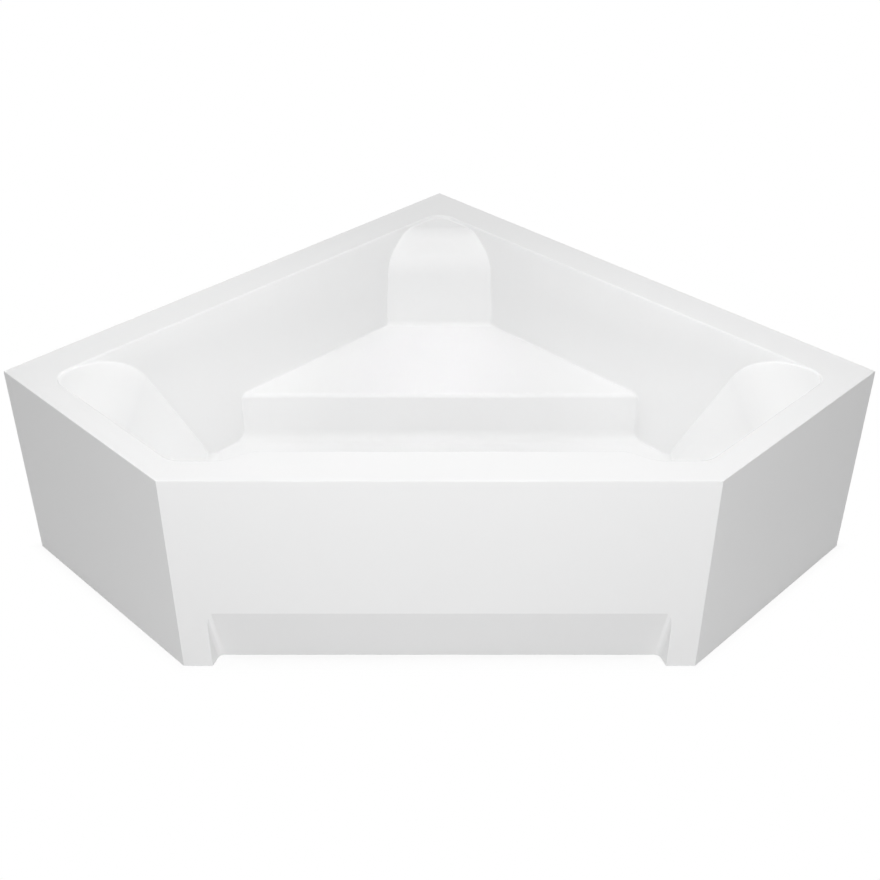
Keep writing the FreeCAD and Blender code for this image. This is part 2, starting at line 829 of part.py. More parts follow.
def waste_gasket_upper():
    return cylinder(flange_radius - flange_bevel, dish_floor, flange_bottom, 0, waste_y).cut(waste_hole)


def waste_flange():
    top = flange_bottom + flange_thickness
    low = flange_bottom - neck_length
    profile = [(throat, low), (neck_radius, low), (neck_radius, flange_bottom),
               (flange_radius, flange_bottom), (flange_radius, top - flange_bevel),
               (flange_radius - 2 * flange_bevel, top), (throat + throat_bevel, top),
               (throat, top - throat_bevel)]
    flange = revolved(profile, 0, waste_y)
    hub = cylinder(hub_radius, low, low + hub_height, 0, waste_y)
    spokes = []
    for turn in (90, 210, 330):
        arm = block(0, throat + neck_wall / 2, -spoke / 2, spoke / 2, low, low + spoke)
        arm.rotate(vec(0, 0), vec(0, 0, 1), turn)
        arm.translate(vec(0, waste_y))
        spokes.append(arm)
    flange = flange.fuse([hub] + spokes).removeSplitter()
    return flange.cut(cylinder(stem_radius + stem_clearance, low - 1, low + hub_height + 1, 0, waste_y))


def waste_gasket_lower():
    ring = cylinder(cup_flange_radius, cup_top, dish_under, 0, waste_y)
    return ring.cut(cylinder(neck_radius + seat_gap, 0, height, 0, waste_y))


def along_y(radius, x, y0, y1, z):
    return Part.makeCylinder(radius, y1 - y0, vec(x, y0, z), vec(0, 1, 0))


def along_x(radius, x0, x1, y, z):
    return Part.makeCylinder(radius, x1 - x0, vec(x0, y, z), vec(1, 0, 0))


lever_y = waste_y - lever_shaft_back
inlet_y = waste_y - inlet_length
cup_bore = neck_radius + seat_gap
cup_outer = cup_bore + cup_wall
crank_x = cup_flange_radius + 1
cable_low = lever_shaft_height + lever_crank - lever_shaft_radius
cable_end = vec(crank_x + spoke / 2, lever_y - cable_stop, cable_low)


def waste_cup():
    drain = dip_radius - cup_wall
    shell = revolved([(dip_radius, dip_bottom), (dip_radius, cup_bottom), (cup_outer, cup_bottom),
                      (cup_outer, cup_top - cup_flange), (cup_flange_radius, cup_top - cup_flange),
                      (cup_flange_radius, cup_top), (0, cup_top), (0, dip_bottom)], 0, waste_y)
    sleeve = along_y(pipe_radius + cup_wall, 0, inlet_y, waste_y, inlet_height)
    hollow = revolved([(0, dip_bottom - 1), (drain, dip_bottom - 1), (drain, cup_bottom + cup_wall),
                       (cup_bore, cup_bottom + cup_wall), (cup_bore, cup_top + 1), (0, cup_top + 1)],
                      0, waste_y)
    bore = along_y(pipe_radius, 0, inlet_y - 1, waste_y, inlet_height)
    shaft = along_x(lever_shaft_radius + stem_clearance, 0, cup_flange_radius, lever_y, lever_shaft_height)
    boss = along_x(2 * lever_shaft_radius, 0, cup_outer, lever_y, lever_shaft_height)
    lug_y = cable_end.y - cable_lug
    lug = block(0, cable_end.x + 2 * cable_radius, lug_y, lug_y + cable_lug,
                cable_low - 2 * cable_radius, cable_low + 2 * cable_radius)
    grip = along_y(cable_radius, cable_end.x, lug_y - 1, lug_y + cable_lug + 1, cable_low)
    return shell.fuse([sleeve, boss, lug]).cut([hollow, bore, shaft, grip]).removeSplitter()


def plug_cap():
    edge = plug_bottom + plug_edge
    crown = edge + plug_dome * plug_crown_share
    profile = [(0, plug_bottom), (plug_radius, plug_bottom), (plug_radius, edge), (plug_crown_radius, crown),
               (0, edge + plug_dome)]
    return revolved(profile, 0, waste_y)


def plug_seal():
    ring = cylinder(throat - seat_gap, plug_bottom - seal_height, plug_bottom, 0, waste_y)
    return ring.cut(cylinder(seal_bore, 0, height, 0, waste_y))


def plug_stem():
    head = cylinder(seal_bore, plug_bottom - stem_head, plug_bottom, 0, waste_y)
    return cylinder(stem_radius, stem_foot, plug_bottom, 0, waste_y).fuse(head).removeSplitter()


def lift_lever():
    shaft = along_x(lever_shaft_radius, 0, crank_x + spoke, lever_y, lever_shaft_height)
    reach = lever_arm + 1
    arm = block(-spoke, spoke, lever_y, lever_y + reach, lever_shaft_height - lever_shaft_radius,
                lever_shaft_height + lever_shaft_radius)
    eye = along_x(lever_shaft_radius, -spoke, spoke, lever_y, lever_shaft_height)
    tip_x = crank_x + spoke
    crank = block(crank_x, tip_x, lever_y - lever_shaft_radius, lever_y + lever_shaft_radius,
                  lever_shaft_height, lever_shaft_height + lever_crank)
    return shaft.fuse([arm, eye, crank]).removeSplitter()


def trap_cup():
    inside = trap_radius - trap_wall
    mouth = dip_radius + seat_gap
    floor = trap_bottom + trap_wall
    outer_line = [(0, trap_bottom), (trap_radius - trap_bevel, trap_bottom),
                  (trap_radius, trap_bottom + trap_bevel), (trap_radius, trap_top), (mouth, trap_top)]
    inner_line = [(mouth, trap_top - trap_wall), (inside, trap_top - trap_wall),
                  (inside, floor + trap_bevel), (inside - trap_bevel, floor), (0, floor)]
    body = revolved(outer_line + inner_line, 0, waste_y)
    end = waste_y + outlet_reach
    outside = along_y(outlet_radius, 0, waste_y, end, outlet_height)
    collar = along_y(outlet_collar, 0, waste_y, end - outlet_free, outlet_height)
    outside = outside.fuse(collar).cut(cylinder(inside, 0, height, 0, waste_y))
    bore = along_y(outlet_radius - trap_wall, 0, waste_y, end + 1, outlet_height)
    trap = body.fuse(outside).cut(bore).removeSplitter()
    trap.rotate(vec(0, waste_y), vec(0, 0, 1), outlet_turn)
    return trap


def trap_nut():
    ring = cylinder(dip_radius + trap_nut_width, trap_top, cup_bottom, 0, waste_y)
    return ring.cut(cylinder(dip_radius + thread_clearance, 0, height, 0, waste_y))


# ---------------------------------------------------------------- overflow

housing_front = -skin - gasket
housing_back = housing_front - housing_depth
drum_start = housing_back + housing_wall + drum_gap
knob_back = face_thickness + knob_lift
pipe_axis = into_tub * (housing_back + housing_wall + pipe_radius - pipe_before_back)
pipe_y = overflow_y + pipe_axis.y
pipe_top = overflow_z + pipe_axis.z - housing_radius + pipe_into_housing


def spread_on_overflow(shape, count, start):
    # Copies of a shape, turned about the overflow axis.
    copies = []
    for k in range(count):
        copy = shape.copy()
        copy.rotate(vec(0, overflow_y, overflow_z), into_tub, start + 360 * k / count)
        copies.append(copy)
    return copies


def overflow_face():
    bevel = face_bevel
    plate = turned_on_overflow([(0, 0), (face_radius, 0), (face_radius, face_thickness - bevel),
                                (face_radius - bevel, face_thickness), (0, face_thickness)])
    slot = block(slot_start, slot_end, overflow_y - face_radius, overflow_y + face_radius,
                 overflow_z - slot_width / 2, overflow_z + slot_width / 2)
    sleeve = on_overflow(sleeve_radius, housing_front - gasket, face_thickness)
    bore = on_overflow(spindle_radius + stem_clearance, -2 * skin, skin)
    return plate.cut(spread_on_overflow(slot, face_slots, 0)).fuse(sleeve).cut(bore).removeSplitter()


def overflow_knob():
    end = knob_back + knob_height
    top = knob_radius - knob_taper
    hollow = knob_radius - knob_rim
    seat = knob_back + knob_recess
    cap = turned_on_overflow([(knob_radius, knob_back), (top, end - knob_bevel), (top - knob_bevel, end),
                              (0, end), (0, seat), (hollow, seat), (hollow, knob_back)])
    grip = on_overflow(grip_radius, 0, end + 1)
    grip.translate(vec(grip_centre, 0, 0))
    return cap.cut(spread_on_overflow(grip, knob_grips, 90))


def knob_spindle():
    rod = on_overflow(spindle_radius, drum_start, knob_back + knob_recess)
    return rod.fuse(on_overflow(drum_radius, drum_start, drum_start + drum_thickness)).removeSplitter()


def overflow_gasket():
    ring = on_overflow(housing_radius, housing_front, -skin)
    return ring.cut(on_overflow(overflow_hole_radius, -3 * skin, 0))


def overflow_housing():
    body = on_overflow(housing_radius, housing_back, housing_front)
    spout = cylinder(pipe_radius + housing_wall, pipe_top - spout_down, pipe_top + spout_up, 0, pipe_y)
    gland = cylinder(gland_radius, pipe_top - gland_down, pipe_top + gland_up, cable_x, pipe_y)
    hollow = on_overflow(housing_radius - housing_wall, housing_back + housing_wall, housing_front + 1)
    bore = cylinder(pipe_radius, pipe_top - spout_down - 1, pipe_top + spout_up, 0, pipe_y)
    cable_bore = cylinder(cable_radius, pipe_top - gland_down - 1, pipe_top + gland_up + 10, cable_x, pipe_y)
    return body.fuse([spout, gland]).cut([hollow, bore, cable_bore]).removeSplitter().Solids[0]


def bent_tube(points, radius, bend):
    # Straight runs joined by tangent arcs, swept by a disc.
    edges = []
    start = points[0]
    for i in range(1, len(points) - 1):
        before = (points[i] - points[i - 1]).normalize()
        after = (points[i + 1] - points[i]).normalize()
        half_turn = before.getAngle(after) / 2
        cut = bend * math.tan(half_turn)
        arc_start = points[i] - before * cut
        arc_end = points[i] + after * cut
        inward = (after - before).normalize()
        middle = points[i] + inward * (bend / math.cos(half_turn) - bend)
        edges.append(Part.makeLine(start, arc_start))
        edges.append(Part.Arc(arc_start, middle, arc_end).toShape())
        start = arc_end
    edges.append(Part.makeLine(start, points[-1]))
    path = Part.Wire(edges)
    direction = (points[1] - points[0]).normalize()
    disc = Part.Wire([Part.makeCircle(radius, points[0], direction)])
    return path.makePipeShell([disc], True, False)


def overflow_pipe():
    points = [vec(0, pipe_y, pipe_top), vec(0, pipe_y, inlet_height),
              vec(0, waste_y - cup_outer - seat_gap, inlet_height)]
    bore = bent_tube(points, pipe_radius - pipe_wall, pipe_bend)
    return bent_tube(points, pipe_radius, pipe_bend).cut(bore)


def control_cable():
    start = vec(cable_x, pipe_y, pipe_top + cable_in_gland)
    points = [start, vec(cable_x, pipe_y, cable_low), cable_end]
    return bent_tube(points, cable_radius, cable_bend)


def pipe_clips():
    clips = []
    for z in clip_heights:
        band = cylinder(pipe_radius + clip_thickness, z, z + clip_width, 0, pipe_y)
        loop = cylinder(cable_radius + clip_thickness, z, z + clip_width, cable_x, pipe_y)
        low_y = pipe_y - clip_thickness / 2
        bridge = block(0, cable_x, low_y, low_y + clip_thickness, z, z + clip_width)
        clip = band.fuse([loop, bridge]).cut([cylinder(pipe_radius, 0, height, 0, pipe_y),
                                              cylinder(cable_radius, 0, height, cable_x, pipe_y)])
        clips.append(clip.removeSplitter())
    return Part.makeCompound(clips)


# ---------------------------------------------------------------- all pieces

os.makedirs("parts", exist_ok=True)

write("tub_shell", tub_shell())
write("shell_backing", shell_backing())
write("apron", apron())
write("base_board", base_board())
write("seat_board", seat_board())
for piece, solid in battens():
    write(piece, solid)

for piece, solid in ring_rails():
    write(piece, solid)
for piece, solid in floor_rails():
    write(piece, solid)
write("frame_seat_rail", seat_rail())
write("frame_spine_rail", spine_rail())
for piece, solid in corner_posts():
    write(piece, solid)
write("seat_struts", seat_struts())

for piece, foot_x, foot_y in feet_places():
    write("foot_stud_" + piece, foot_stud(foot_x, foot_y))
    write("foot_pad_" + piece, foot_pad(foot_x, foot_y))
write("foot_nuts", foot_nuts())
write("wall_anchors", wall_anchors())
write("apron_brackets", apron_brackets())
write("apron_screws", apron_screws())

write("waste_gasket_upper", waste_gasket_upper())
write("waste_flange", waste_flange())
write("waste_gasket_lower", waste_gasket_lower())
write("waste_cup", waste_cup())
write("plug_cap", plug_cap())
write("plug_seal", plug_seal())
write("plug_stem", plug_stem())
write("lift_lever", lift_lever())
write("trap_cup", trap_cup())
write("trap_nut", trap_nut())

write("overflow_face", overflow_face())
write("overflow_knob", overflow_knob())
write("knob_spindle", knob_spindle())
write("overflow_gasket", overflow_gasket())
write("overflow_housing", overflow_housing())
write("overflow_pipe", overflow_pipe())
write("control_cable", control_cable())
write("pipe_clips", pipe_clips())
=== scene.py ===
import bpy
import bmesh
import math
from mathutils import Euler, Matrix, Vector


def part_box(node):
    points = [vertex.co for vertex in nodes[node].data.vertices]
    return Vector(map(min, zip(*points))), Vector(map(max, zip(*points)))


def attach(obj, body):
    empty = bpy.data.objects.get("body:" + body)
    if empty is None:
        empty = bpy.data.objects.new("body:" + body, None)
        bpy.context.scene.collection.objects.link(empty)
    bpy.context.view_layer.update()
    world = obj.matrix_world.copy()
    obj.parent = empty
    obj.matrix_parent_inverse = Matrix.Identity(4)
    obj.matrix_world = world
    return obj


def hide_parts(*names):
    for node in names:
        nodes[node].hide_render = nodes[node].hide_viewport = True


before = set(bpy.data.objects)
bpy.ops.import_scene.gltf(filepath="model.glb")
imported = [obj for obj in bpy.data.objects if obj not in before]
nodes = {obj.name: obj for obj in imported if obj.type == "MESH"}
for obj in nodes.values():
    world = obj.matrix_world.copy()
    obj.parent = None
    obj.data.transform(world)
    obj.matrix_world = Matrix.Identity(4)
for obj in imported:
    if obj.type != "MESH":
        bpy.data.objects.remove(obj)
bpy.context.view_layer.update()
print("bath frame loaded:", len(nodes), "nodes")


# small helpers for node trees

def addNode(tree, kind, at=(0, 0), values=None, **settings):
    made = tree.nodes.new(kind)
    made.location = at
    for name, value in settings.items():
        setattr(made, name, value)
    for name, value in (values or {}).items():
        made.inputs[name].default_value = value
    return made


def wire(tree, source, target, out=0, into=0):
    tree.links.new(source.outputs[out], target.inputs[into])


def maths(tree, operation, first, second=None, at=(0, 0)):
    # one Math node; a number becomes a value, a (node, output) pair becomes a link
    made = addNode(tree, "ShaderNodeMath", at, operation=operation)
    for slot, item in enumerate((first, second)):
        if item is None:
            continue
        if isinstance(item, tuple):
            tree.links.new(item[0].outputs[item[1]], made.inputs[slot])
        else:
            made.inputs[slot].default_value = item
    return made


def mixed(tree, factor, first, second, at):
    # colour mix; first and second are each a colour or a (node, output) pair
    made = addNode(tree, "ShaderNodeMix", at, data_type="RGBA")
    tree.links.new(factor[0].outputs[factor[1]], made.inputs["Factor"])
    for slot, item in ((6, first), (7, second)):
        if len(item) == 2:
            tree.links.new(item[0].outputs[item[1]], made.inputs[slot])
        else:
            made.inputs[slot].default_value = item
    return made


def noiseOn(tree, source, at, values, out="Object", **settings):
    made = addNode(tree, "ShaderNodeTexNoise", at, values, **settings)
    wire(tree, source, made, out, "Vector")
    return made


def newGroup(name, inputs, outputs):
    group = bpy.data.node_groups.new(name, "ShaderNodeTree")
    kinds = {"value": "NodeSocketFloat", "color": "NodeSocketColor"}
    for title, kind, start in inputs:
        socket = group.interface.new_socket(title, in_out="INPUT", socket_type=kinds[kind])
        socket.default_value = start
    for title, kind in outputs:
        group.interface.new_socket(title, in_out="OUTPUT", socket_type=kinds[kind])
    enter = addNode(group, "NodeGroupInput", (-900, 0))
    leave = addNode(group, "NodeGroupOutput", (700, 0))
    return group, enter, leave


# shared surface effects

def buildMottle():
    # slow drift of lightness, as any moulded or coated surface has
    group, enter, leave = newGroup(
        "softMottle",
        [("Color", "color", (1, 1, 1, 1)), ("Scale", "value", 4.0), ("Amount", "value", 0.02),
         ("Shift", "value", 0.0)],
        [("Color", "color"), ("Mask", "value")])
    place = addNode(group, "ShaderNodeTexCoord", (-900, -250))
    cloud = noiseOn(group, place, (-620, -100), {"Detail": 5.0, "Roughness": 0.55}, noise_dimensions="4D")
    wire(group, enter, cloud, "Scale", "Scale")
    wire(group, enter, cloud, "Shift", "W")
    centred = maths(group, "SUBTRACT", (cloud, 0), 0.5, (-400, -100))
    swing = maths(group, "MULTIPLY", (centred, 0), (enter, "Amount"), (-200, -100))
    level = maths(group, "ADD", (swing, 0), 1.0, (0, -100))
    tint = addNode(group, "ShaderNodeVectorMath", (200, 0), operation="SCALE")
    wire(group, enter, tint, "Color", 0)
    wire(group, level, tint, 0, "Scale")
    wire(group, tint, leave, 0, "Color")
    wire(group, cloud, leave, 0, "Mask")
    return group


def buildHairlines():
    # faint crossing scratches from wiping and handling
    group, enter, leave = newGroup(
        "hairlines",
        [("Scale", "value", 30.0), ("Stretch", "value", 18.0), ("Share", "value", 0.1)],
        [("Mask", "value")])
    place = addNode(group, "ShaderNodeTexCoord", (-900, -250))
    masks = []
    for number, turn in enumerate((0.4, 1.35, 2.3)):
        turned = addNode(group, "ShaderNodeMapping", (-700, -300 * number),
                         {"Rotation": (0.3 * turn, 0.2, turn)})
        wire(group, place, turned, "Object", "Vector")
        long = addNode(group, "ShaderNodeVectorMath", (-520, -300 * number), operation="DIVIDE")
        wire(group, turned, long, 0, 0)
        span = addNode(group, "ShaderNodeCombineXYZ", (-700, -300 * number - 160), {"Y": 1.0, "Z": 1.0})
        wire(group, enter, span, "Stretch", "X")
        wire(group, span, long, 0, 1)
        cloud = noiseOn(group, long, (-340, -300 * number), {"Detail": 2.0}, 0)
        wire(group, enter, cloud, "Scale", "Scale")
        away = maths(group, "SUBTRACT", (cloud, 0), 0.5, (-160, -300 * number))
        thin = maths(group, "ABSOLUTE", (away, 0), None, (0, -300 * number))
        line = addNode(group, "ShaderNodeMapRange", (160, -300 * number), {"From Min": 0.004, "From Max": 0.0})
        wire(group, thin, line, 0, "Value")
        masks.append(line)
    both = maths(group, "MAXIMUM", (masks[0], 0), (masks[1], 0), (340, -150))
    every = maths(group, "MAXIMUM", (both, 0), (masks[2], 0), (440, -250))
    kept = maths(group, "MULTIPLY", (every, 0), (enter, "Share"), (560, -100))
    wire(group, kept, leave, 0, "Mask")
    return group


def buildSettledDust():
    # thin dust on what faces up
    group, enter, leave = newGroup(
        "settledDust", [("Amount", "value", 0.3), ("Scale", "value", 14.0)], [("Mask", "value")])
    place = addNode(group, "ShaderNodeTexCoord", (-900, -250))
    facing = addNode(group, "ShaderNodeNewGeometry", (-900, -500))
    upward = addNode(group, "ShaderNodeSeparateXYZ", (-700, -500))
    wire(group, facing, upward, "Normal", 0)
    flat = addNode(group, "ShaderNodeMapRange", (-500, -500), {"From Min": 0.2, "From Max": 0.95})
    wire(group, upward, flat, "Z", "Value")
    cloud = noiseOn(group, place, (-620, -100), {"Detail": 7.0, "Roughness": 0.7})
    wire(group, enter, cloud, "Scale", "Scale")
    patchy = addNode(group, "ShaderNodeMapRange", (-400, -100), {"From Min": 0.35, "From Max": 0.7})
    wire(group, cloud, patchy, 0, "Value")
    both = maths(group, "MULTIPLY", (patchy, 0), (flat, 0), (-150, -200))
    kept = maths(group, "MULTIPLY", (both, 0), (enter, "Amount"), (50, -200))
    wire(group, kept, leave, 0, "Mask")
    return group


def buildGrain():
    # fine pebble of a mould or a spray coat
    group, enter, leave = newGroup(
        "mouldGrain", [("Scale", "value", 400.0), ("Softness", "value", 0.5)], [("Height", "value")])
    place = addNode(group, "ShaderNodeTexCoord", (-900, -250))
    fine = noiseOn(group, place, (-620, -100), {"Detail": 3.0})
    wire(group, enter, fine, "Scale", "Scale")
    wire(group, enter, fine, "Softness", "Roughness")
    cells = addNode(group, "ShaderNodeTexVoronoi", (-620, -400), feature="SMOOTH_F1")
    wire(group, place, cells, "Object", "Vector")
    wire(group, enter, cells, "Scale", "Scale")
    both = maths(group, "MULTIPLY", (fine, 0), (cells, 0), (-300, -200))
    wire(group, both, leave, 0, "Height")
    return group


mottle = buildMottle()
hairlines = buildHairlines()
settledDust = buildSettledDust()
grain = buildGrain()
print("shared effects built")


# materials

def startMaterial(name, **sockets):
    material = bpy.data.materials.new(name)
    material.use_nodes = True
    tree = material.node_tree
    shader = tree.nodes["Principled BSDF"]
    for title, value in sockets.items():
        shader.inputs[title.replace("_", " ")].default_value = value
    return material, tree, shader


def useGroup(tree, group, at, values):
    return addNode(tree, "ShaderNodeGroup", at, values, node_tree=group)


def toRange(tree, source, low, high, at, out=0, fromLow=0.0, fromHigh=1.0):
    spread = addNode(tree, "ShaderNodeMapRange", at,
                     {"From Min": fromLow, "From Max": fromHigh, "To Min": low, "To Max": high})
    wire(tree, source, spread, out, "Value")
    return spread


def bumpFrom(tree, shader, source, strength, distance, at, out=0):
    bump = addNode(tree, "ShaderNodeBump", at, {"Strength": strength, "Distance": distance})
    wire(tree, source, bump, out, "Height")
    wire(tree, bump, shader, "Normal", "Normal")


acrylicLook = {"white": (0.915, 0.916, 0.917, 1), "gloss": (0.07, 0.13), "wipeMarks": 0.1, "drift": 0.012,
               "wave": 7.0, "waveHeight": 0.00022}


def acrylicMaterial(name, shift):
    material, tree, shader = startMaterial(name, IOR=1.49)
    tone = useGroup(tree, mottle, (-700, 200), {"Color": acrylicLook["white"], "Scale": 3.0,
                                                "Amount": acrylicLook["drift"], "Shift": shift})
    wire(tree, tone, shader, "Color", "Base Color")
    wiped = useGroup(tree, hairlines, (-900, -100), {"Scale": 26.0, "Stretch": 22.0, "Share": 0.35})
    patch = toRange(tree, tone, *acrylicLook["gloss"], (-500, 0), out="Mask", fromLow=0.3, fromHigh=0.7)
    rough = maths(tree, "MULTIPLY_ADD", (wiped, "Mask"), acrylicLook["wipeMarks"], (-300, -50))
    wire(tree, patch, rough, 0, 2)
    wire(tree, rough, shader, 0, "Roughness")
    place = addNode(tree, "ShaderNodeTexCoord", (-900, -400))
    wave = noiseOn(tree, place, (-700, -400), {"Scale": acrylicLook["wave"], "Detail": 1.0, "Roughness": 0.4})
    bumpFrom(tree, shader, wave, 1.0, acrylicLook["waveHeight"], (-300, -400))
    return material


acrylicWhite = acrylicMaterial("acrylicWhite", 0.0)
acrylicPanel = acrylicMaterial("acrylicPanel", 3.7)


def laminateMaterial():
    # sprayed glass strands in resin on the hidden side of the shell
    look = {"resin": (0.63, 0.60, 0.50, 1), "strand": (0.80, 0.79, 0.73, 1), "wet": (0.46, 0.42, 0.32, 1),
            "wetShare": 0.55, "strandShare": 0.6, "gloss": (0.62, 0.34), "relief": (0.7, 0.0012),
            "turns": ((0.2, 0.9, 0.3), (1.1, 0.2, 1.4), (0.6, 1.6, 2.3), (2.0, 0.5, 0.9))}
    material, tree, shader = startMaterial("glassLaminate", IOR=1.52)
    place = addNode(tree, "ShaderNodeTexCoord", (-1500, 0))
    layers = []
    for number, turn in enumerate(look["turns"]):
        turned = addNode(tree, "ShaderNodeMapping", (-1300, -260 * number),
                         {"Rotation": turn, "Scale": (7.0, 80.0, 80.0)})
        wire(tree, place, turned, "Object", "Vector")
        strands = noiseOn(tree, turned, (-1100, -260 * number),
                          {"Scale": 2.2, "Detail": 2.0, "Distortion": 0.6}, 0)
        layers.append(toRange(tree, strands, 0.0, 1.0, (-900, -260 * number), fromLow=0.55, fromHigh=0.68))
    one = maths(tree, "MAXIMUM", (layers[0], 0), (layers[1], 0), (-700, -100))
    two = maths(tree, "MAXIMUM", (layers[2], 0), (layers[3], 0), (-700, -500))
    strand = maths(tree, "MAXIMUM", (one, 0), (two, 0), (-560, -300))
    tone = useGroup(tree, mottle, (-760, 320),
                    {"Color": look["resin"], "Scale": 9.0, "Amount": 0.25, "Shift": 1.3})
    pool = toRange(tree, tone, 0.0, look["wetShare"], (-560, 200), out="Mask", fromLow=0.52, fromHigh=0.72)
    wetter = mixed(tree, (pool, 0), (tone, "Color"), look["wet"], (-400, 300))
    share = maths(tree, "MULTIPLY", (strand, 0), look["strandShare"], (-400, 0))
    glassy = mixed(tree, (share, 0), (wetter, 2), look["strand"], (-200, 200))
    wire(tree, glassy, shader, 2, "Base Color")
    rough = toRange(tree, tone, *look["gloss"], (-300, -150), out="Mask", fromLow=0.3, fromHigh=0.75)
    wire(tree, rough, shader, 0, "Roughness")
    bumpFrom(tree, shader, strand, *look["relief"], (-200, -400))
    return material


glassLaminate = laminateMaterial()


pine = {"light": (0.56, 0.40, 0.23, 1), "dark": (0.36, 0.22, 0.11, 1), "gloss": (0.55, 0.82),
        "relief": (0.4, 0.0006)}


def timberMaterial(name, turn):
    # long-grained batten; turn lays the grain along the piece
    material, tree, shader = startMaterial(name, IOR=1.45)
    place = addNode(tree, "ShaderNodeTexCoord", (-1300, 0))
    along = addNode(tree, "ShaderNodeMapping", (-1100, 0), {"Rotation": (0, 0, turn)})
    wire(tree, place, along, "Object", "Vector")
    stretch = addNode(tree, "ShaderNodeMapping", (-920, 0), {"Scale": (1.6, 26.0, 26.0)})
    wire(tree, along, stretch, 0, "Vector")
    rings = noiseOn(tree, stretch, (-740, 100), {"Scale": 2.0, "Detail": 6.0, "Distortion": 1.2}, 0)
    fibre = noiseOn(tree, stretch, (-740, -200), {"Scale": 14.0, "Detail": 3.0}, 0)
    ramp = addNode(tree, "ShaderNodeValToRGB", (-540, 100))
    ramp.color_ramp.elements[0].position = 0.38
    ramp.color_ramp.elements[0].color = pine["dark"]
    ramp.color_ramp.elements[1].position = 0.62
    ramp.color_ramp.elements[1].color = pine["light"]
    wire(tree, rings, ramp, 0, "Fac")
    tone = useGroup(tree, mottle, (-260, 200), {"Scale": 5.0, "Amount": 0.2, "Shift": turn})
    wire(tree, ramp, tone, "Color", "Color")
    wire(tree, tone, shader, "Color", "Base Color")
    rough = toRange(tree, fibre, *pine["gloss"], (-260, -50))
    wire(tree, rough, shader, 0, "Roughness")
    bumpFrom(tree, shader, fibre, *pine["relief"], (-260, -300))
    return material


def chipboardMaterial():
    # pressed flakes under a thin coat of resin
    look = {"pale": (0.50, 0.38, 0.24, 1), "deep": (0.27, 0.18, 0.10, 1), "gloss": (0.45, 0.8),
            "relief": (0.5, 0.0008)}
    material, tree, shader = startMaterial("chipboard", IOR=1.48)
    place = addNode(tree, "ShaderNodeTexCoord", (-1100, 0))
    flakes = addNode(tree, "ShaderNodeTexVoronoi", (-880, 100), {"Scale": 210.0, "Randomness": 1.0})
    wire(tree, place, flakes, "Object", "Vector")
    chips = noiseOn(tree, place, (-880, -200), {"Scale": 60.0, "Detail": 5.0, "Distortion": 1.5})
    bright = addNode(tree, "ShaderNodeSeparateColor", (-700, 100))
    wire(tree, flakes, bright, "Color", 0)
    share = maths(tree, "MULTIPLY", (bright, 0), (chips, 0), (-520, 0))
    ramp = addNode(tree, "ShaderNodeValToRGB", (-360, 100))
    ramp.color_ramp.elements[0].color = look["deep"]
    ramp.color_ramp.elements[1].position = 0.55
    ramp.color_ramp.elements[1].color = look["pale"]
    wire(tree, share, ramp, 0, "Fac")
    tone = useGroup(tree, mottle, (-100, 200), {"Scale": 6.0, "Amount": 0.25, "Shift": 5.0})
    wire(tree, ramp, tone, "Color", "Color")
    wire(tree, tone, shader, "Color", "Base Color")
    rough = toRange(tree, chips, *look["gloss"], (-200, -50))
    wire(tree, rough, shader, 0, "Roughness")
    bumpFrom(tree, shader, share, *look["relief"], (-200, -300))
    return material


dustColours = {"onMetal": (0.42, 0.40, 0.37, 1), "onPlastic": (0.5, 0.48, 0.45, 1)}


def dustOver(tree, last, amount, scale, colour):
    # the dust mask and the surface colour with dust on it
    film = useGroup(tree, settledDust, (-700, -800), {"Amount": amount, "Scale": scale})
    return film, mixed(tree, (film, "Mask"), last, colour, (-200, 150))


metalLook = {"shiftByGloss": 9, "scratchMarks": 0.25, "relief": 0.3}


def metalMaterial(name, colour, rough, drift=0.12, spangle=0.0, scratch=0.3, dust=0.0, bump=0.0):
    material, tree, shader = startMaterial(name, Metallic=1.0)
    tone = useGroup(tree, mottle, (-800, 200),
                    {"Color": colour, "Scale": 22.0, "Amount": drift,
                     "Shift": rough[0] * metalLook["shiftByGloss"]})
    last = (tone, "Color")
    if spangle:
        place = addNode(tree, "ShaderNodeTexCoord", (-1300, -100))
        crystals = addNode(tree, "ShaderNodeTexVoronoi", (-1100, -100), {"Scale": 95.0})
        wire(tree, place, crystals, "Object", "Vector")
        shade = addNode(tree, "ShaderNodeSeparateColor", (-900, -100))
        wire(tree, crystals, shade, "Color", 0)
        flake = toRange(tree, shade, 1.0 - spangle, 1.0, (-720, -100))
        scaled = addNode(tree, "ShaderNodeVectorMath", (-500, 100), operation="SCALE")
        wire(tree, tone, scaled, "Color", 0)
        wire(tree, flake, scaled, 0, "Scale")
        last = (scaled, 0)
    lines = useGroup(tree, hairlines, (-900, -500), {"Scale": 45.0, "Stretch": 14.0, "Share": scratch})
    patch = toRange(tree, tone, *rough, (-500, -200), out="Mask", fromLow=0.3, fromHigh=0.7)
    worn = maths(tree, "MULTIPLY_ADD", (lines, "Mask"), metalLook["scratchMarks"], (-300, -300))
    wire(tree, patch, worn, 0, 2)
    if dust:
        film, dusty = dustOver(tree, last, dust, 16.0, dustColours["onMetal"])
        last = (dusty, 2)
        less = maths(tree, "SUBTRACT", 1.0, (film, "Mask"), (-200, -600))
        wire(tree, less, shader, 0, "Metallic")
        worn = maths(tree, "ADD", (worn, 0), (film, "Mask"), (-150, -350))
    wire(tree, last[0], shader, last[1], "Base Color")
    wire(tree, worn, shader, 0, "Roughness")
    if bump:
        coat = useGroup(tree, grain, (-500, -1000), {"Scale": 260.0})
        bumpFrom(tree, shader, coat, metalLook["relief"], bump, (-200, -900), out="Height")
    return material


plasticLook = {"drift": 0.06, "shiftByPebble": 40, "relief": 0.35}


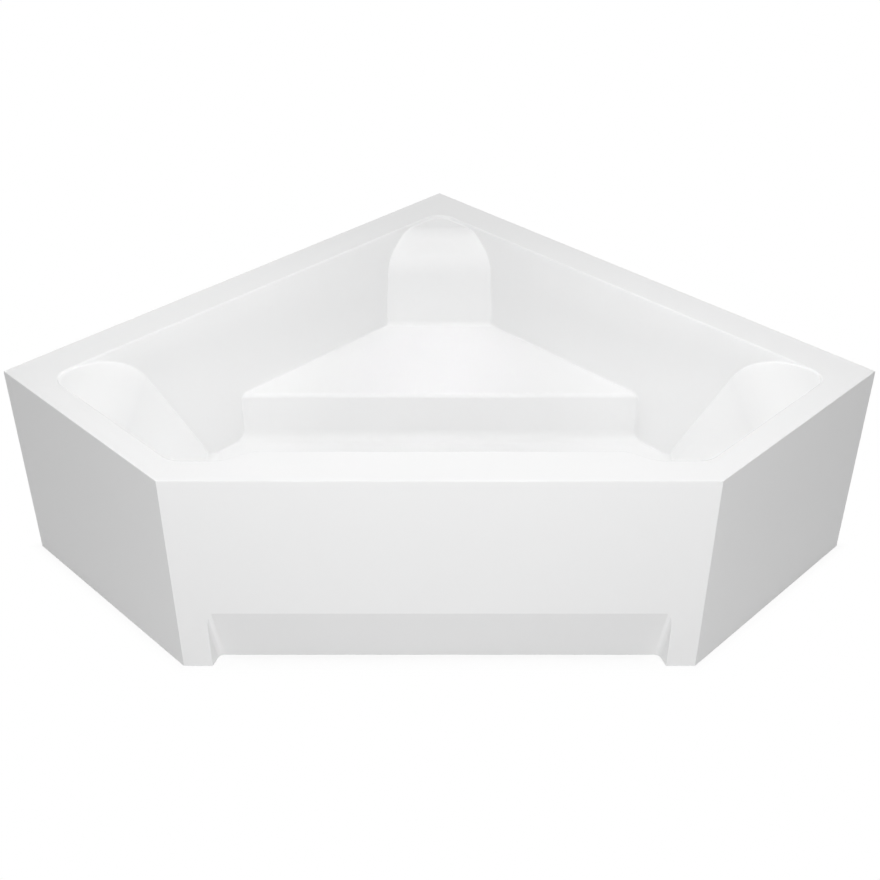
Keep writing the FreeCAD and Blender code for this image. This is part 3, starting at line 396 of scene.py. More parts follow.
def plasticMaterial(name, colour, rough, pebble, dust):
    material, tree, shader = startMaterial(name, IOR=1.49)
    tone = useGroup(tree, mottle, (-700, 200),
                    {"Color": colour, "Scale": 18.0, "Amount": plasticLook["drift"],
                     "Shift": pebble * plasticLook["shiftByPebble"]})
    patch = toRange(tree, tone, *rough, (-450, 0), out="Mask", fromLow=0.3, fromHigh=0.7)
    film, dusty = dustOver(tree, (tone, "Color"), dust, 20.0, dustColours["onPlastic"])
    duller = maths(tree, "ADD", (patch, 0), (film, "Mask"), (-250, 0))
    wire(tree, dusty, shader, 2, "Base Color")
    wire(tree, duller, shader, 0, "Roughness")
    skin = useGroup(tree, grain, (-500, -300), {"Scale": 320.0})
    bumpFrom(tree, shader, skin, plasticLook["relief"], pebble, (-200, -300), out="Height")
    return material


chromeBright = metalMaterial("chromeBright", (0.80, 0.81, 0.83, 1), (0.05, 0.11), drift=0.03, scratch=0.25)
frameSteel = metalMaterial("frameSteel", (0.55, 0.565, 0.58, 1), (0.34, 0.5),
                           spangle=0.2, dust=0.45, bump=0.0002)
zincSteel = metalMaterial("zincSteel", (0.66, 0.67, 0.66, 1), (0.22, 0.38), drift=0.18, scratch=0.5, dust=0.2)
weldSteel = metalMaterial("weldSteel", (0.36, 0.345, 0.33, 1), (0.35, 0.6), drift=0.5, bump=0.0003)
padPlastic = plasticMaterial("padPlastic", (0.035, 0.035, 0.037, 1), (0.38, 0.55), 0.0003, 0.3)
wastePlastic = plasticMaterial("wastePlastic", (0.76, 0.76, 0.74, 1), (0.26, 0.4), 0.00012, 0.25)
rubberBlack = plasticMaterial("rubberBlack", (0.028, 0.028, 0.03, 1), (0.55, 0.75), 0.0002, 0.15)
cableSheath = plasticMaterial("cableSheath", (0.05, 0.052, 0.056, 1), (0.4, 0.58), 0.00015, 0.25)
chipboard = chipboardMaterial()
print("materials built:", len(bpy.data.materials))


# shapes carried over from the frame, merged and smoothed

merging = {"distance": 0.000004, "flatAngle": 1.0, "creaseAngle": 4.0, "sharpAngle": 30.0}


def mergedMesh(nodeName, title, flatten=False):
    # a copy of the node's triangles with shared corners; flatten joins the ones that lie in one plane
    mesh = nodes[nodeName].data.copy()
    mesh.name = title
    work = bmesh.new()
    work.from_mesh(mesh)
    bmesh.ops.remove_doubles(work, verts=work.verts, dist=merging["distance"])
    if flatten:
        bmesh.ops.dissolve_limit(work, angle_limit=math.radians(merging["flatAngle"]),
                                 verts=work.verts, edges=work.edges)
    work.to_mesh(mesh)
    work.free()
    mesh.attributes.remove(mesh.attributes["custom_normal"])
    mesh.materials.clear()
    return mesh


def placePiece(title, mesh):
    piece = bpy.data.objects.new(title, mesh)
    bpy.context.scene.collection.objects.link(piece)
    return piece


def creaseBetweenPanels(mesh, panelArea):
    # two large panels meet in a crisp line, however slight the angle: the smaller one keeps its own normals
    work = bmesh.new()
    work.from_mesh(mesh)
    low, high = math.radians(merging["creaseAngle"]), math.radians(merging["sharpAngle"])
    for edge in work.edges:
        if len(edge.link_faces) == 2 and low < edge.calc_face_angle() < high:
            smaller = min(edge.link_faces, key=lambda face: face.calc_area())
            if smaller.calc_area() > panelArea:
                for border in smaller.edges:
                    border.smooth = False
    work.to_mesh(mesh)
    work.free()


def smoothCopy(nodeName, title, material, slot, body, bevel=0.0, reshape=None, panelArea=0.0):
    mesh = mergedMesh(nodeName, title, flatten=bool(bevel or panelArea))
    if reshape:
        reshape(mesh)
    piece = placePiece(title, mesh)
    mesh.materials.append(material)
    mesh.shade_smooth()
    mesh.set_sharp_from_angle(angle=math.radians(merging["sharpAngle"]))
    if panelArea:
        creaseBetweenPanels(mesh, panelArea)
    if bevel:
        edge = piece.modifiers.new("edgeSoftening", "BEVEL")
        edge.width = bevel
        edge.segments = 2
        edge.limit_method = "ANGLE"
        edge.angle_limit = math.radians(merging["sharpAngle"])
        edge.harden_normals = True
    else:
        weight = piece.modifiers.new("flatFaces", "WEIGHTED_NORMAL")
        weight.keep_sharp = True
        weight.weight = 100
    finishMesh(piece)
    hand(piece, slot, body, nodeName)


def hand(piece, slot, body, *nodeNames):
    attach(piece, body)
    if nodeNames:
        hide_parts(*nodeNames)


def finishMesh(piece):
    # the evaluated shape becomes the piece's own plain mesh
    graph = bpy.context.evaluated_depsgraph_get()
    made = bpy.data.meshes.new_from_object(piece.evaluated_get(graph), depsgraph=graph)
    piece.modifiers.clear()
    piece.data = made


# backrests: how far they stand out beyond the frame's, the back one by height
rests = {"rimHeight": 0.510, "draft": math.tan(math.radians(3.0)), "cornerOut": 0.70569, "rimBack": 0.0945,
         "forward": ((0.250, 0.0150), (0.391, 0.0145), (0.412, 0.0125), (0.434, 0.0106), (0.457, 0.0077),
                     (0.470, 0.0025), (0.484, 0.0)),
         "beyondY": 0.1, "aboveZ": 0.2, "wallSlack": 0.025, "holdTo": 0.16, "fadeTo": 0.42,
         "footSide": 0.136, "footTop": 0.247, "footEase": 0.30, "footGrow": 0.006, "nearest": 0.001,
         "lift": 0.005, "liftFrom": 0.430, "liftTo": 0.4985, "liftBeyond": 0.66, "liftGap": 0.07}


def byHeight(table, height):
    if height <= table[0][0]:
        return table[0][1]
    for (low, atLow), (high, atHigh) in zip(table, table[1:]):
        if height <= high:
            return atLow + (atHigh - atLow) * (height - low) / (high - low)
    return 0.0


def restShift(away, z):
    # the way forward and up of a point this far from the corner where the walls meet
    forward = byHeight(rests["forward"], z)
    rise = 0.0
    grow, side, top = rests["footGrow"], rests["footSide"], rests["footTop"]
    if z < top and away < side:
        across, down = side - away, top - z
        reach = math.hypot(across, down)
        if reach > rests["nearest"]:
            forward += grow - grow * across / reach
            rise = grow - grow * down / reach
    elif z < top:
        forward += grow
    elif z < rests["footEase"]:
        rise = grow * (rests["footEase"] - z) / (rests["footEase"] - top)
    if away > rests["holdTo"]:
        share = (away - rests["holdTo"]) / (rests["fadeTo"] - rests["holdTo"])
        forward *= 1.0 - share * share * (3.0 - 2.0 * share)
    return forward, rise


def standOut(mesh):
    # the back rest comes forward along the walls, with a softer foot; the side rests rise to the rim
    for corner in mesh.vertices:
        x, y, z = corner.co
        inset = rests["rimBack"] + (rests["rimHeight"] - z) * rests["draft"]
        away = rests["cornerOut"] - inset * math.sqrt(2.0) - y
        between = 0.0 < away < rests["fadeTo"] and abs(x) < away + rests["wallSlack"]
        if between and y > rests["beyondY"] and rests["aboveZ"] < z < rests["forward"][-1][0]:
            forward, rise = restShift(away, z)
            spread = max(-1.0, min(1.0, x / away)) if away > rests["nearest"] else 0.0
            corner.co = (x + forward * spread, y - forward, z + rise)
        wallGap = (rests["cornerOut"] - abs(x) - y) / math.sqrt(2.0)
        outside = abs(x) > rests["liftBeyond"] and wallGap > rests["liftGap"]
        if outside and rests["liftFrom"] < z < rests["rimHeight"]:
            rising = (z - rests["liftFrom"]) / (rests["liftTo"] - rests["liftFrom"])
            falling = (rests["rimHeight"] - z) / (rests["rimHeight"] - rests["liftTo"])
            corner.co.z = z + rests["lift"] * min(1.0, rising, falling)


apron = {"panelArea": 0.05}
smoothCopy("tub_shell", "bathShell", acrylicWhite, "acrylic", "tub", reshape=standOut)
smoothCopy("apron", "bathApron", acrylicPanel, "acrylic", "tub", panelArea=apron["panelArea"])
smoothCopy("shell_backing", "shellLaminate", glassLaminate, "laminate", "tub", reshape=standOut)
print("shell, apron and laminate smoothed")


def copyAll(table, bevel=0.0):
    # a piece's title is its node's name in camelCase
    for nodeName, material, slot, body in table:
        first, *rest = nodeName.split("_")
        title = first + "".join(part.capitalize() for part in rest)
        smoothCopy(nodeName, title, material, slot, body, bevel=bevel)


# boards and battens
boards = {"edge": 0.0008}
copyAll([("base_board", chipboard, "timber", "tub"),
         ("seat_board", chipboard, "timber", "tub")], bevel=boards["edge"])
battens = {"edge": 0.0015,
           "turns": {"back_left": -45, "back_right": 45, "side_left": 45, "side_right": -45, "front": 0}}
for place, turn in battens["turns"].items():
    wood = timberMaterial("batten_" + place, math.radians(turn))
    smoothCopy("rim_batten_" + place, "rimBatten_" + place, wood, "timber", "tub", bevel=battens["edge"])
print("boards and battens done")


# welded frame

frameLook = {"tubeCorner": 0.0022, "tube": 0.025}
for name in [name for name in nodes if name.startswith("frame_")] + ["seat_struts"]:
    smoothCopy(name, "steel_" + name, frameSteel, "frame_steel", "tub", bevel=frameLook["tubeCorner"])


def geometryTree(name, inputs):
    tree = bpy.data.node_groups.new(name, "GeometryNodeTree")
    tree.interface.new_socket("Geometry", in_out="INPUT", socket_type="NodeSocketGeometry")
    for title, kind, start in inputs:
        socket = tree.interface.new_socket(title, in_out="INPUT", socket_type="NodeSocket" + kind)
        if start is not None:
            socket.default_value = start
    tree.interface.new_socket("Geometry", in_out="OUTPUT", socket_type="NodeSocketGeometry")
    enter = addNode(tree, "NodeGroupInput", (-1400, 0))
    leave = addNode(tree, "NodeGroupOutput", (900, 0))
    return tree, enter, leave


def closeTree(tree, enter, source, leave):
    # every tree ends in real meshes with their material on
    real = addNode(tree, "GeometryNodeRealizeInstances", (500, 0))
    painted = addNode(tree, "GeometryNodeSetMaterial", (700, 0))
    wire(tree, source, real, 0, 0)
    wire(tree, real, painted, 0, "Geometry")
    wire(tree, enter, painted, "Material", "Material")
    wire(tree, painted, leave, 0, 0)


def grow(piece, tree, values):
    # runs a tree on the piece with these sizes and keeps the result as a plain mesh
    modifier = piece.modifiers.new(tree.name, "NODES")
    modifier.node_group = tree
    sockets = {item.name: item.identifier for item in tree.interface.items_tree if item.in_out == "INPUT"}
    for title, value in values.items():
        modifier[sockets[title]] = value
    finishMesh(piece)


welds = {"radius": 0.0018, "ripple": 0.0019, "step": 0.0005, "seed": 3.0, "level": 0.0735, "top": 0.086,
         "waveShare": 0.06, "unevenShare": 0.35, "unevenFrom": 0.82,
         "cornerPosts": ((0.0, 0.6597), (-0.9482, -0.2885), (0.9482, -0.2885)),
         "uprights": ((-0.5835, -0.6532), (0.5835, -0.6532), (-0.22, 0.0742), (0.22, 0.0742), (0.0, 0.345)),
         "butts": ((-0.3, -0.6407), (0.3, -0.6407), (-0.3, 0.0617), (0.3, 0.0617), (0.0, 0.0867)),
         "seatRailY": 0.0742,
         # place, way outwards and half length of the cut
         "mitres": ((0, 0.6597, 0, 1, 0.01768), (-0.9482, -0.2885, -1, 0, 0.01768),
                    (0.9482, -0.2885, 1, 0, 0.01768), (-0.5835, -0.6532, -0.3827, -0.9239, 0.01353),
                    (0.5835, -0.6532, 0.3827, -0.9239, 0.01353))}


def beadTree():
    # a rippled weld bead along every edge of the mesh it is given
    tree, enter, leave = geometryTree("weldBead", [
        ("Radius", "Float", 0.002), ("Ripple", "Float", 0.0026), ("Step", "Float", 0.001),
        ("Seed", "Float", 3.0), ("Material", "Material", None)])
    lines = addNode(tree, "GeometryNodeMeshToCurve", (-1200, 0))
    wire(tree, enter, lines, "Geometry", 0)
    even = addNode(tree, "GeometryNodeResampleCurve", (-1000, 0), mode="LENGTH")
    wire(tree, lines, even, 0, "Curve")
    wire(tree, enter, even, "Step", "Length")
    along = addNode(tree, "GeometryNodeSplineParameter", (-1200, -300))
    count = maths(tree, "DIVIDE", (along, "Length"), (enter, "Ripple"), (-1000, -300))
    phase = maths(tree, "MULTIPLY", (count, 0), math.tau, (-860, -300))
    wavy = maths(tree, "SINE", (phase, 0), None, (-720, -300))
    small = maths(tree, "MULTIPLY", (wavy, 0), welds["waveShare"], (-580, -300))
    rough = addNode(tree, "ShaderNodeTexNoise", (-720, -500), {"Scale": 160.0, "Detail": 1.0},
                    noise_dimensions="4D")
    wire(tree, enter, rough, "Seed", "W")
    uneven = maths(tree, "MULTIPLY_ADD", (rough, 0), welds["unevenShare"], (-580, -500))
    uneven.inputs[2].default_value = welds["unevenFrom"]
    width = maths(tree, "ADD", (small, 0), (uneven, 0), (-440, -400))
    swell = addNode(tree, "GeometryNodeSetCurveRadius", (-600, 0))
    wire(tree, even, swell, 0, "Curve")
    wire(tree, width, swell, 0, "Radius")
    ring = addNode(tree, "GeometryNodeCurvePrimitiveCircle", (-400, -200), {"Resolution": 7})
    wire(tree, enter, ring, "Radius", "Radius")
    tube = addNode(tree, "GeometryNodeCurveToMesh", (-200, 0))
    wire(tree, swell, tube, 0, "Curve")
    wire(tree, ring, tube, 0, "Profile Curve")
    shade = addNode(tree, "GeometryNodeSetShadeSmooth", (100, 0))
    wire(tree, tube, shade, 0, "Geometry")
    closeTree(tree, enter, shade, leave)
    return tree


def weldLoops():
    # closed loops where one tube ends on another: middle, half width and half height as vectors
    half = frameLook["tube"] / 2
    slant = half * math.sqrt(0.5)
    level, top = welds["level"], welds["top"]
    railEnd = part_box("frame_seat_rail")[1][0] - half
    loops = [((x, y, top), (slant, slant, 0), (slant, -slant, 0)) for x, y in welds["cornerPosts"]]
    loops += [((x, y, top), (half, 0, 0), (0, half, 0)) for x, y in welds["uprights"]]
    loops += [((x, y, level), (half, 0, 0), (0, 0, half)) for x, y in welds["butts"]]
    loops += [((railEnd * side, welds["seatRailY"], level), (half * side, half, 0), (0, 0, half))
              for side in (-1, 1)]
    loops += [((x, y, level), (outX * reach, outY * reach, 0), (0, 0, half))
              for x, y, outX, outY, reach in welds["mitres"]]
    return loops


def buildWelds():
    corners = []
    edges = []
    for middle, wide, tall in weldLoops():
        start = len(corners)
        for one, two in ((-1, -1), (1, -1), (1, 1), (-1, 1)):
            corners.append(tuple(middle[k] + one * wide[k] + two * tall[k] for k in range(3)))
        edges += [(start + k, start + (k + 1) % 4) for k in range(4)]
    mesh = bpy.data.meshes.new("weldBeads")
    mesh.from_pydata(corners, edges, [])
    piece = placePiece("weldBeads", mesh)
    grow(piece, beadTree(), {"Radius": welds["radius"], "Ripple": welds["ripple"], "Step": welds["step"],
                             "Seed": welds["seed"], "Material": weldSteel})
    hand(piece, "frame_steel", "tub")


buildWelds()
print("frame and weld beads done")


# levelling feet

feet = {"places": {"back": (0.0, 0.6597), "left": (-0.9482, -0.2885), "front_left": (-0.5835, -0.6532),
                   "front_right": (0.5835, -0.6532), "right": (0.9482, -0.2885), "middle": (0.0, 0.0742)},
        "rod": 0.006, "core": 0.0051, "pitch": 0.00175, "threadFrom": 0.0212, "threadTo": 0.0712,
        "runOut": 0.03, "runOutTip": 0.02, "shoulder": 0.0008, "padEdge": 0.0009}
nuts = {"flats": 0.019, "height": 0.010, "at": 0.056, "play": 0.0001, "chamferBall": 0.595, "drillOver": 1.5,
        "sharp": 20.0}


def threadTree():
    # a helical ridge joined to the rod it is given
    tree, enter, leave = geometryTree("studThread", [
        ("Core", "Float", 0.005), ("Depth", "Float", 0.001), ("Pitch", "Float", 0.00175),
        ("Turns", "Float", 28.0), ("Start", "Vector", (0, 0, 0)), ("Material", "Material", None)])
    rise = maths(tree, "MULTIPLY", (enter, "Pitch"), (enter, "Turns"), (-1150, -300))
    helix = addNode(tree, "GeometryNodeCurveSpiral", (-950, -200), {"Resolution": 20})
    wire(tree, enter, helix, "Turns", "Rotations")
    wire(tree, enter, helix, "Core", "Start Radius")
    wire(tree, enter, helix, "Core", "End Radius")
    wire(tree, rise, helix, 0, "Height")
    upright = addNode(tree, "GeometryNodeSetCurveNormal", (-750, -200))
    upright.mode = "Z_UP"
    wire(tree, helix, upright, 0, "Curve")
    along = addNode(tree, "GeometryNodeSplineParameter", (-950, -500))
    fromEnd = maths(tree, "PINGPONG", (along, "Factor"), 0.5, (-780, -500))
    runOut = addNode(tree, "ShaderNodeMapRange", (-620, -500),
                     {"From Max": feet["runOut"], "To Min": feet["runOutTip"]})
    wire(tree, fromEnd, runOut, 0, "Value")
    fading = addNode(tree, "GeometryNodeSetCurveRadius", (-550, -200))
    wire(tree, upright, fading, 0, "Curve")
    wire(tree, runOut, fading, 0, "Radius")
    ridge = addNode(tree, "GeometryNodeCurvePrimitiveCircle", (-550, 100), {"Resolution": 4})
    wire(tree, enter, ridge, "Depth", "Radius")
    swept = addNode(tree, "GeometryNodeCurveToMesh", (-350, -200))
    wire(tree, fading, swept, 0, "Curve")
    wire(tree, ridge, swept, 0, "Profile Curve")
    placed = addNode(tree, "GeometryNodeTransform", (-150, -200))
    wire(tree, swept, placed, 0, "Geometry")
    wire(tree, enter, placed, "Start", "Translation")
    both = addNode(tree, "GeometryNodeJoinGeometry", (100, 0))
    wire(tree, placed, both, 0, 0)
    wire(tree, enter, both, "Geometry", 0)
    closeTree(tree, enter, both, leave)
    return tree


def buildStuds():
    tree = threadTree()
    turns = (feet["threadTo"] - feet["threadFrom"]) / feet["pitch"]
    for name, (x, y) in feet["places"].items():
        mesh = mergedMesh("foot_stud_" + name, "threadedStud_" + name)
        for corner in mesh.vertices:
            across = math.hypot(corner.co.x - x, corner.co.y - y)
            if corner.co.z > feet["threadFrom"] - feet["shoulder"] and across > feet["core"]:
                corner.co.x = x + (corner.co.x - x) * feet["core"] / across
                corner.co.y = y + (corner.co.y - y) * feet["core"] / across
        mesh.shade_smooth()
        mesh.set_sharp_from_angle(angle=math.radians(merging["sharpAngle"]))
        piece = placePiece("threadedStud_" + name, mesh)
        grow(piece, tree, {"Core": feet["core"], "Depth": feet["rod"] - feet["core"], "Pitch": feet["pitch"],
                           "Turns": turns, "Start": (x, y, feet["threadFrom"]), "Material": zincSteel})
        hand(piece, "stud_steel", "foot_" + name, "foot_stud_" + name)
        smoothCopy("foot_pad_" + name, "footPad_" + name, padPlastic, "pad_plastic", "foot_" + name,
                   bevel=feet["padEdge"])


def nutTree():
    # chamfered nuts on the points it is given: a hexagon cut by a ball, with its bore
    tree, enter, leave = geometryTree("hexNut", [
        ("Across Flats", "Float", 0.019), ("Height", "Float", 0.01), ("Bore", "Float", 0.0061),
        ("Material", "Material", None)])
    corner = maths(tree, "DIVIDE", (enter, "Across Flats"), math.sqrt(3), (-1200, -200))
    blank = addNode(tree, "GeometryNodeMeshCylinder", (-1000, -100), {"Vertices": 6})
    wire(tree, corner, blank, 0, "Radius")
    wire(tree, enter, blank, "Height", "Depth")
    drill = addNode(tree, "GeometryNodeMeshCylinder", (-1000, -500), {"Vertices": 32})
    longer = maths(tree, "MULTIPLY", (enter, "Height"), nuts["drillOver"], (-1200, -600))
    wire(tree, enter, drill, "Bore", "Radius")
    wire(tree, longer, drill, 0, "Depth")
    ball = addNode(tree, "GeometryNodeMeshUVSphere", (-1000, -850), {"Segments": 48, "Rings": 24})
    ballRadius = maths(tree, "MULTIPLY", (enter, "Across Flats"), nuts["chamferBall"], (-1200, -850))
    wire(tree, ballRadius, ball, 0, "Radius")
    chamfered = addNode(tree, "GeometryNodeMeshBoolean", (-700, -300), operation="INTERSECT")
    wire(tree, blank, chamfered, "Mesh", "Mesh 2")
    wire(tree, ball, chamfered, "Mesh", "Mesh 2")
    bored = addNode(tree, "GeometryNodeMeshBoolean", (-450, -300), operation="DIFFERENCE")
    wire(tree, chamfered, bored, "Mesh", "Mesh 1")
    wire(tree, drill, bored, "Mesh", "Mesh 2")
    spread = addNode(tree, "GeometryNodeInstanceOnPoints", (-100, 0))
    wire(tree, enter, spread, "Geometry", "Points")
    wire(tree, bored, spread, "Mesh", "Instance")
    closeTree(tree, enter, spread, leave)
    return tree


def buildNuts():
    mesh = bpy.data.meshes.new("footNuts")
    mesh.from_pydata([(x, y, nuts["at"]) for x, y in feet["places"].values()], [], [])
    piece = placePiece("footNuts", mesh)
    grow(piece, nutTree(), {"Across Flats": nuts["flats"], "Height": nuts["height"],
                            "Bore": feet["rod"] + nuts["play"], "Material": zincSteel})
    piece.data.shade_smooth()
    piece.data.set_sharp_from_angle(angle=math.radians(nuts["sharp"]))
    hand(piece, "stud_steel", "tub", "foot_nuts")


buildStuds()
buildNuts()
print("levelling feet done")


# brackets, anchors and screws

strips = {"edge": 0.0004}
copyAll([("wall_anchors", zincSteel, "steel_small", "tub"),
         ("apron_brackets", zincSteel, "steel_small", "tub")], bevel=strips["edge"])


screws = {"headRadius": 0.004, "headHeight": 0.0024, "shankRadius": 0.0019, "shankLength": 0.0062,
          "recessLong": 0.0044, "recessWide": 0.0009, "recessTall": 0.003, "recessAt": 0.0025,
          "block": 0.02, "headFrom": 0.0035, "sharp": 25.0}


def screwTree():
    # pan heads with a cross recess, one on each point, turned to the point's facing
    tree, enter, leave = geometryTree("crossScrew", [
        ("Head Radius", "Float", 0.004), ("Head Height", "Float", 0.0024),
        ("Shank Radius", "Float", 0.0019), ("Shank Length", "Float", 0.006), ("Material", "Material", None)])
    ball = addNode(tree, "GeometryNodeMeshUVSphere", (-1200, 0), {"Segments": 32, "Rings": 20, "Radius": 1.0})
    size = addNode(tree, "ShaderNodeCombineXYZ", (-1200, -200))
    wire(tree, enter, size, "Head Radius", "X")
    wire(tree, enter, size, "Head Radius", "Y")
    wire(tree, enter, size, "Head Height", "Z")
    dome = addNode(tree, "GeometryNodeTransform", (-1000, 0))
    wire(tree, ball, dome, "Mesh", "Geometry")
    wire(tree, size, dome, 0, "Scale")
    block = screws["block"]
    keep = addNode(tree, "GeometryNodeMeshCube", (-1200, -450), {"Size": (block, block, block)})
    above = addNode(tree, "GeometryNodeTransform", (-1000, -450), {"Translation": (0, 0, block / 2)})
    wire(tree, keep, above, "Mesh", "Geometry")
    head = addNode(tree, "GeometryNodeMeshBoolean", (-760, -100), operation="INTERSECT")
    wire(tree, dome, head, 0, "Mesh 2")
    wire(tree, above, head, 0, "Mesh 2")
    driven = addNode(tree, "GeometryNodeMeshBoolean", (-520, -300), operation="DIFFERENCE")
    wire(tree, head, driven, "Mesh", "Mesh 1")
    long, wide, tall = screws["recessLong"], screws["recessWide"], screws["recessTall"]
    lift = {"Translation": (0, 0, screws["recessAt"])}
    for row, sides in ((-700, (long, wide, tall)), (-900, (wide, long, tall))):
        slot = addNode(tree, "GeometryNodeMeshCube", (-1200, row), {"Size": sides})
        sunk = addNode(tree, "GeometryNodeTransform", (-1000, row), lift)
        wire(tree, slot, sunk, "Mesh", "Geometry")
        wire(tree, sunk, driven, 0, "Mesh 2")
    shank = addNode(tree, "GeometryNodeMeshCylinder", (-760, -700), {"Vertices": 20})
    wire(tree, enter, shank, "Shank Radius", "Radius")
    wire(tree, enter, shank, "Shank Length", "Depth")
    middle = maths(tree, "MULTIPLY", (enter, "Shank Length"), -0.5, (-760, -950))
    down = addNode(tree, "ShaderNodeCombineXYZ", (-600, -950))
    wire(tree, middle, down, 0, "Z")
    below = addNode(tree, "GeometryNodeTransform", (-450, -700))
    wire(tree, shank, below, "Mesh", "Geometry")
    wire(tree, down, below, 0, "Translation")
    screw = addNode(tree, "GeometryNodeJoinGeometry", (-250, -400))
    wire(tree, driven, screw, "Mesh", 0)
    wire(tree, below, screw, 0, 0)
    facing = addNode(tree, "GeometryNodeInputNamedAttribute", (-500, 200), {"Name": "facing"},
                     data_type="FLOAT_VECTOR")
    turned = addNode(tree, "FunctionNodeAlignRotationToVector", (-300, 200), axis="Z")
    wire(tree, facing, turned, "Attribute", "Vector")
    spread = addNode(tree, "GeometryNodeInstanceOnPoints", (0, 0))
    wire(tree, enter, spread, "Geometry", "Points")
    wire(tree, screw, spread, 0, "Instance")
    wire(tree, turned, spread, 0, "Rotation")
    closeTree(tree, enter, spread, leave)
    return tree


def islandsOf(work):
    seen = set()
    for first in work.verts:
        if first not in seen:
            seen.add(first)
            island = [first]
            for corner in island:
                for other in (link.other_vert(corner) for link in corner.link_edges):
                    if other not in seen:
                        seen.add(other)
                        island.append(other)
            yield island


def screwSeats():
    # each screw of the frame: the middle of its head's inner face and the way the head looks
    mesh = mergedMesh("apron_screws", "screwSeats")
    work = bmesh.new()
    work.from_mesh(mesh)
    found = []
    for island in islandsOf(work):
        # the two round ends have the largest flat area, so their normal is the screw's axis
        areas = {}
        for face in {face for corner in island for face in corner.link_faces}:
            key = tuple(round(part, 2) for part in face.normal)
            areas[key] = areas.get(key, 0.0) + face.calc_area()
        way = Vector(max(areas, key=areas.get)).normalized()
        middle = sum((corner.co for corner in island), Vector()) / len(island)
        rim = [corner.co for corner in island if (corner.co - middle).cross(way).length > screws["headFrom"]]
        headMiddle = sum(rim, Vector()) / len(rim)
        tips = [corner.co.dot(way) for corner in island]
        if headMiddle.dot(way) < (max(tips) + min(tips)) / 2:
            way = -way
        low = min(spot.dot(way) for spot in rim)
        found.append((headMiddle + way * (low - headMiddle.dot(way)), way))
    work.free()
    bpy.data.meshes.remove(mesh)
    return found


def buildScrews():
    seats = screwSeats()
    mesh = bpy.data.meshes.new("apronScrews")
    mesh.from_pydata([tuple(spot) for spot, way in seats], [], [])
    facing = mesh.attributes.new("facing", "FLOAT_VECTOR", "POINT")
    for item, (spot, way) in zip(facing.data, seats):
        item.vector = way
    piece = placePiece("apronScrews", mesh)
    grow(piece, screwTree(), {"Head Radius": screws["headRadius"], "Head Height": screws["headHeight"],
                              "Shank Radius": screws["shankRadius"], "Shank Length": screws["shankLength"],
                              "Material": zincSteel})
    piece.data.shade_smooth()
    piece.data.set_sharp_from_angle(angle=math.radians(screws["sharp"]))
    hand(piece, "steel_small", "tub", "apron_screws")


buildScrews()
print("brackets, anchors and screws done")


# waste and overflow

copyAll([("waste_flange", chromeBright, "chrome", "tub"),
         ("plug_cap", chromeBright, "chrome", "plug"),
         ("plug_stem", wastePlastic, "waste_plastic", "plug"),
         ("plug_seal", rubberBlack, "rubber", "plug"),
         ("overflow_face", chromeBright, "chrome", "tub"),
         ("overflow_knob", chromeBright, "chrome", "knob"),
         ("knob_spindle", zincSteel, "steel_small", "knob"),
         ("lift_lever", zincSteel, "steel_small", "lever"),
         ("waste_gasket_upper", rubberBlack, "rubber", "tub"),
         ("waste_gasket_lower", rubberBlack, "rubber", "tub"),
         ("overflow_gasket", rubberBlack, "rubber", "tub"),
         ("overflow_housing", wastePlastic, "waste_plastic", "tub"),
         ("overflow_pipe", wastePlastic, "waste_plastic", "tub"),
         ("waste_cup", wastePlastic, "waste_plastic", "tub"),
         ("trap_cup", wastePlastic, "waste_plastic", "tub"),
         ("trap_nut", wastePlastic, "waste_plastic", "tub"),
         ("pipe_clips", wastePlastic, "waste_plastic", "tub"),
         ("control_cable", cableSheath, "cable_sheath", "tub")])
print("waste and overflow done")


# studio

studio = {"floorSize": 14.0, "floorAt": -0.0006, "floorSeen": (0.93, 0.93, 0.93, 1),
          "floorBounce": (0.5, 0.5, 0.5, 1), "fadeStart": -0.10, "fadeEnd": 0.03, "worldLight": 0.12}
# edges of the tub's footprint: sideways share, depth share, distance from the middle
footprint = ((0.0, -1.0, 0.7057), (0.7071, -0.7071, 0.9010), (0.7071, 0.7071, 0.4990))


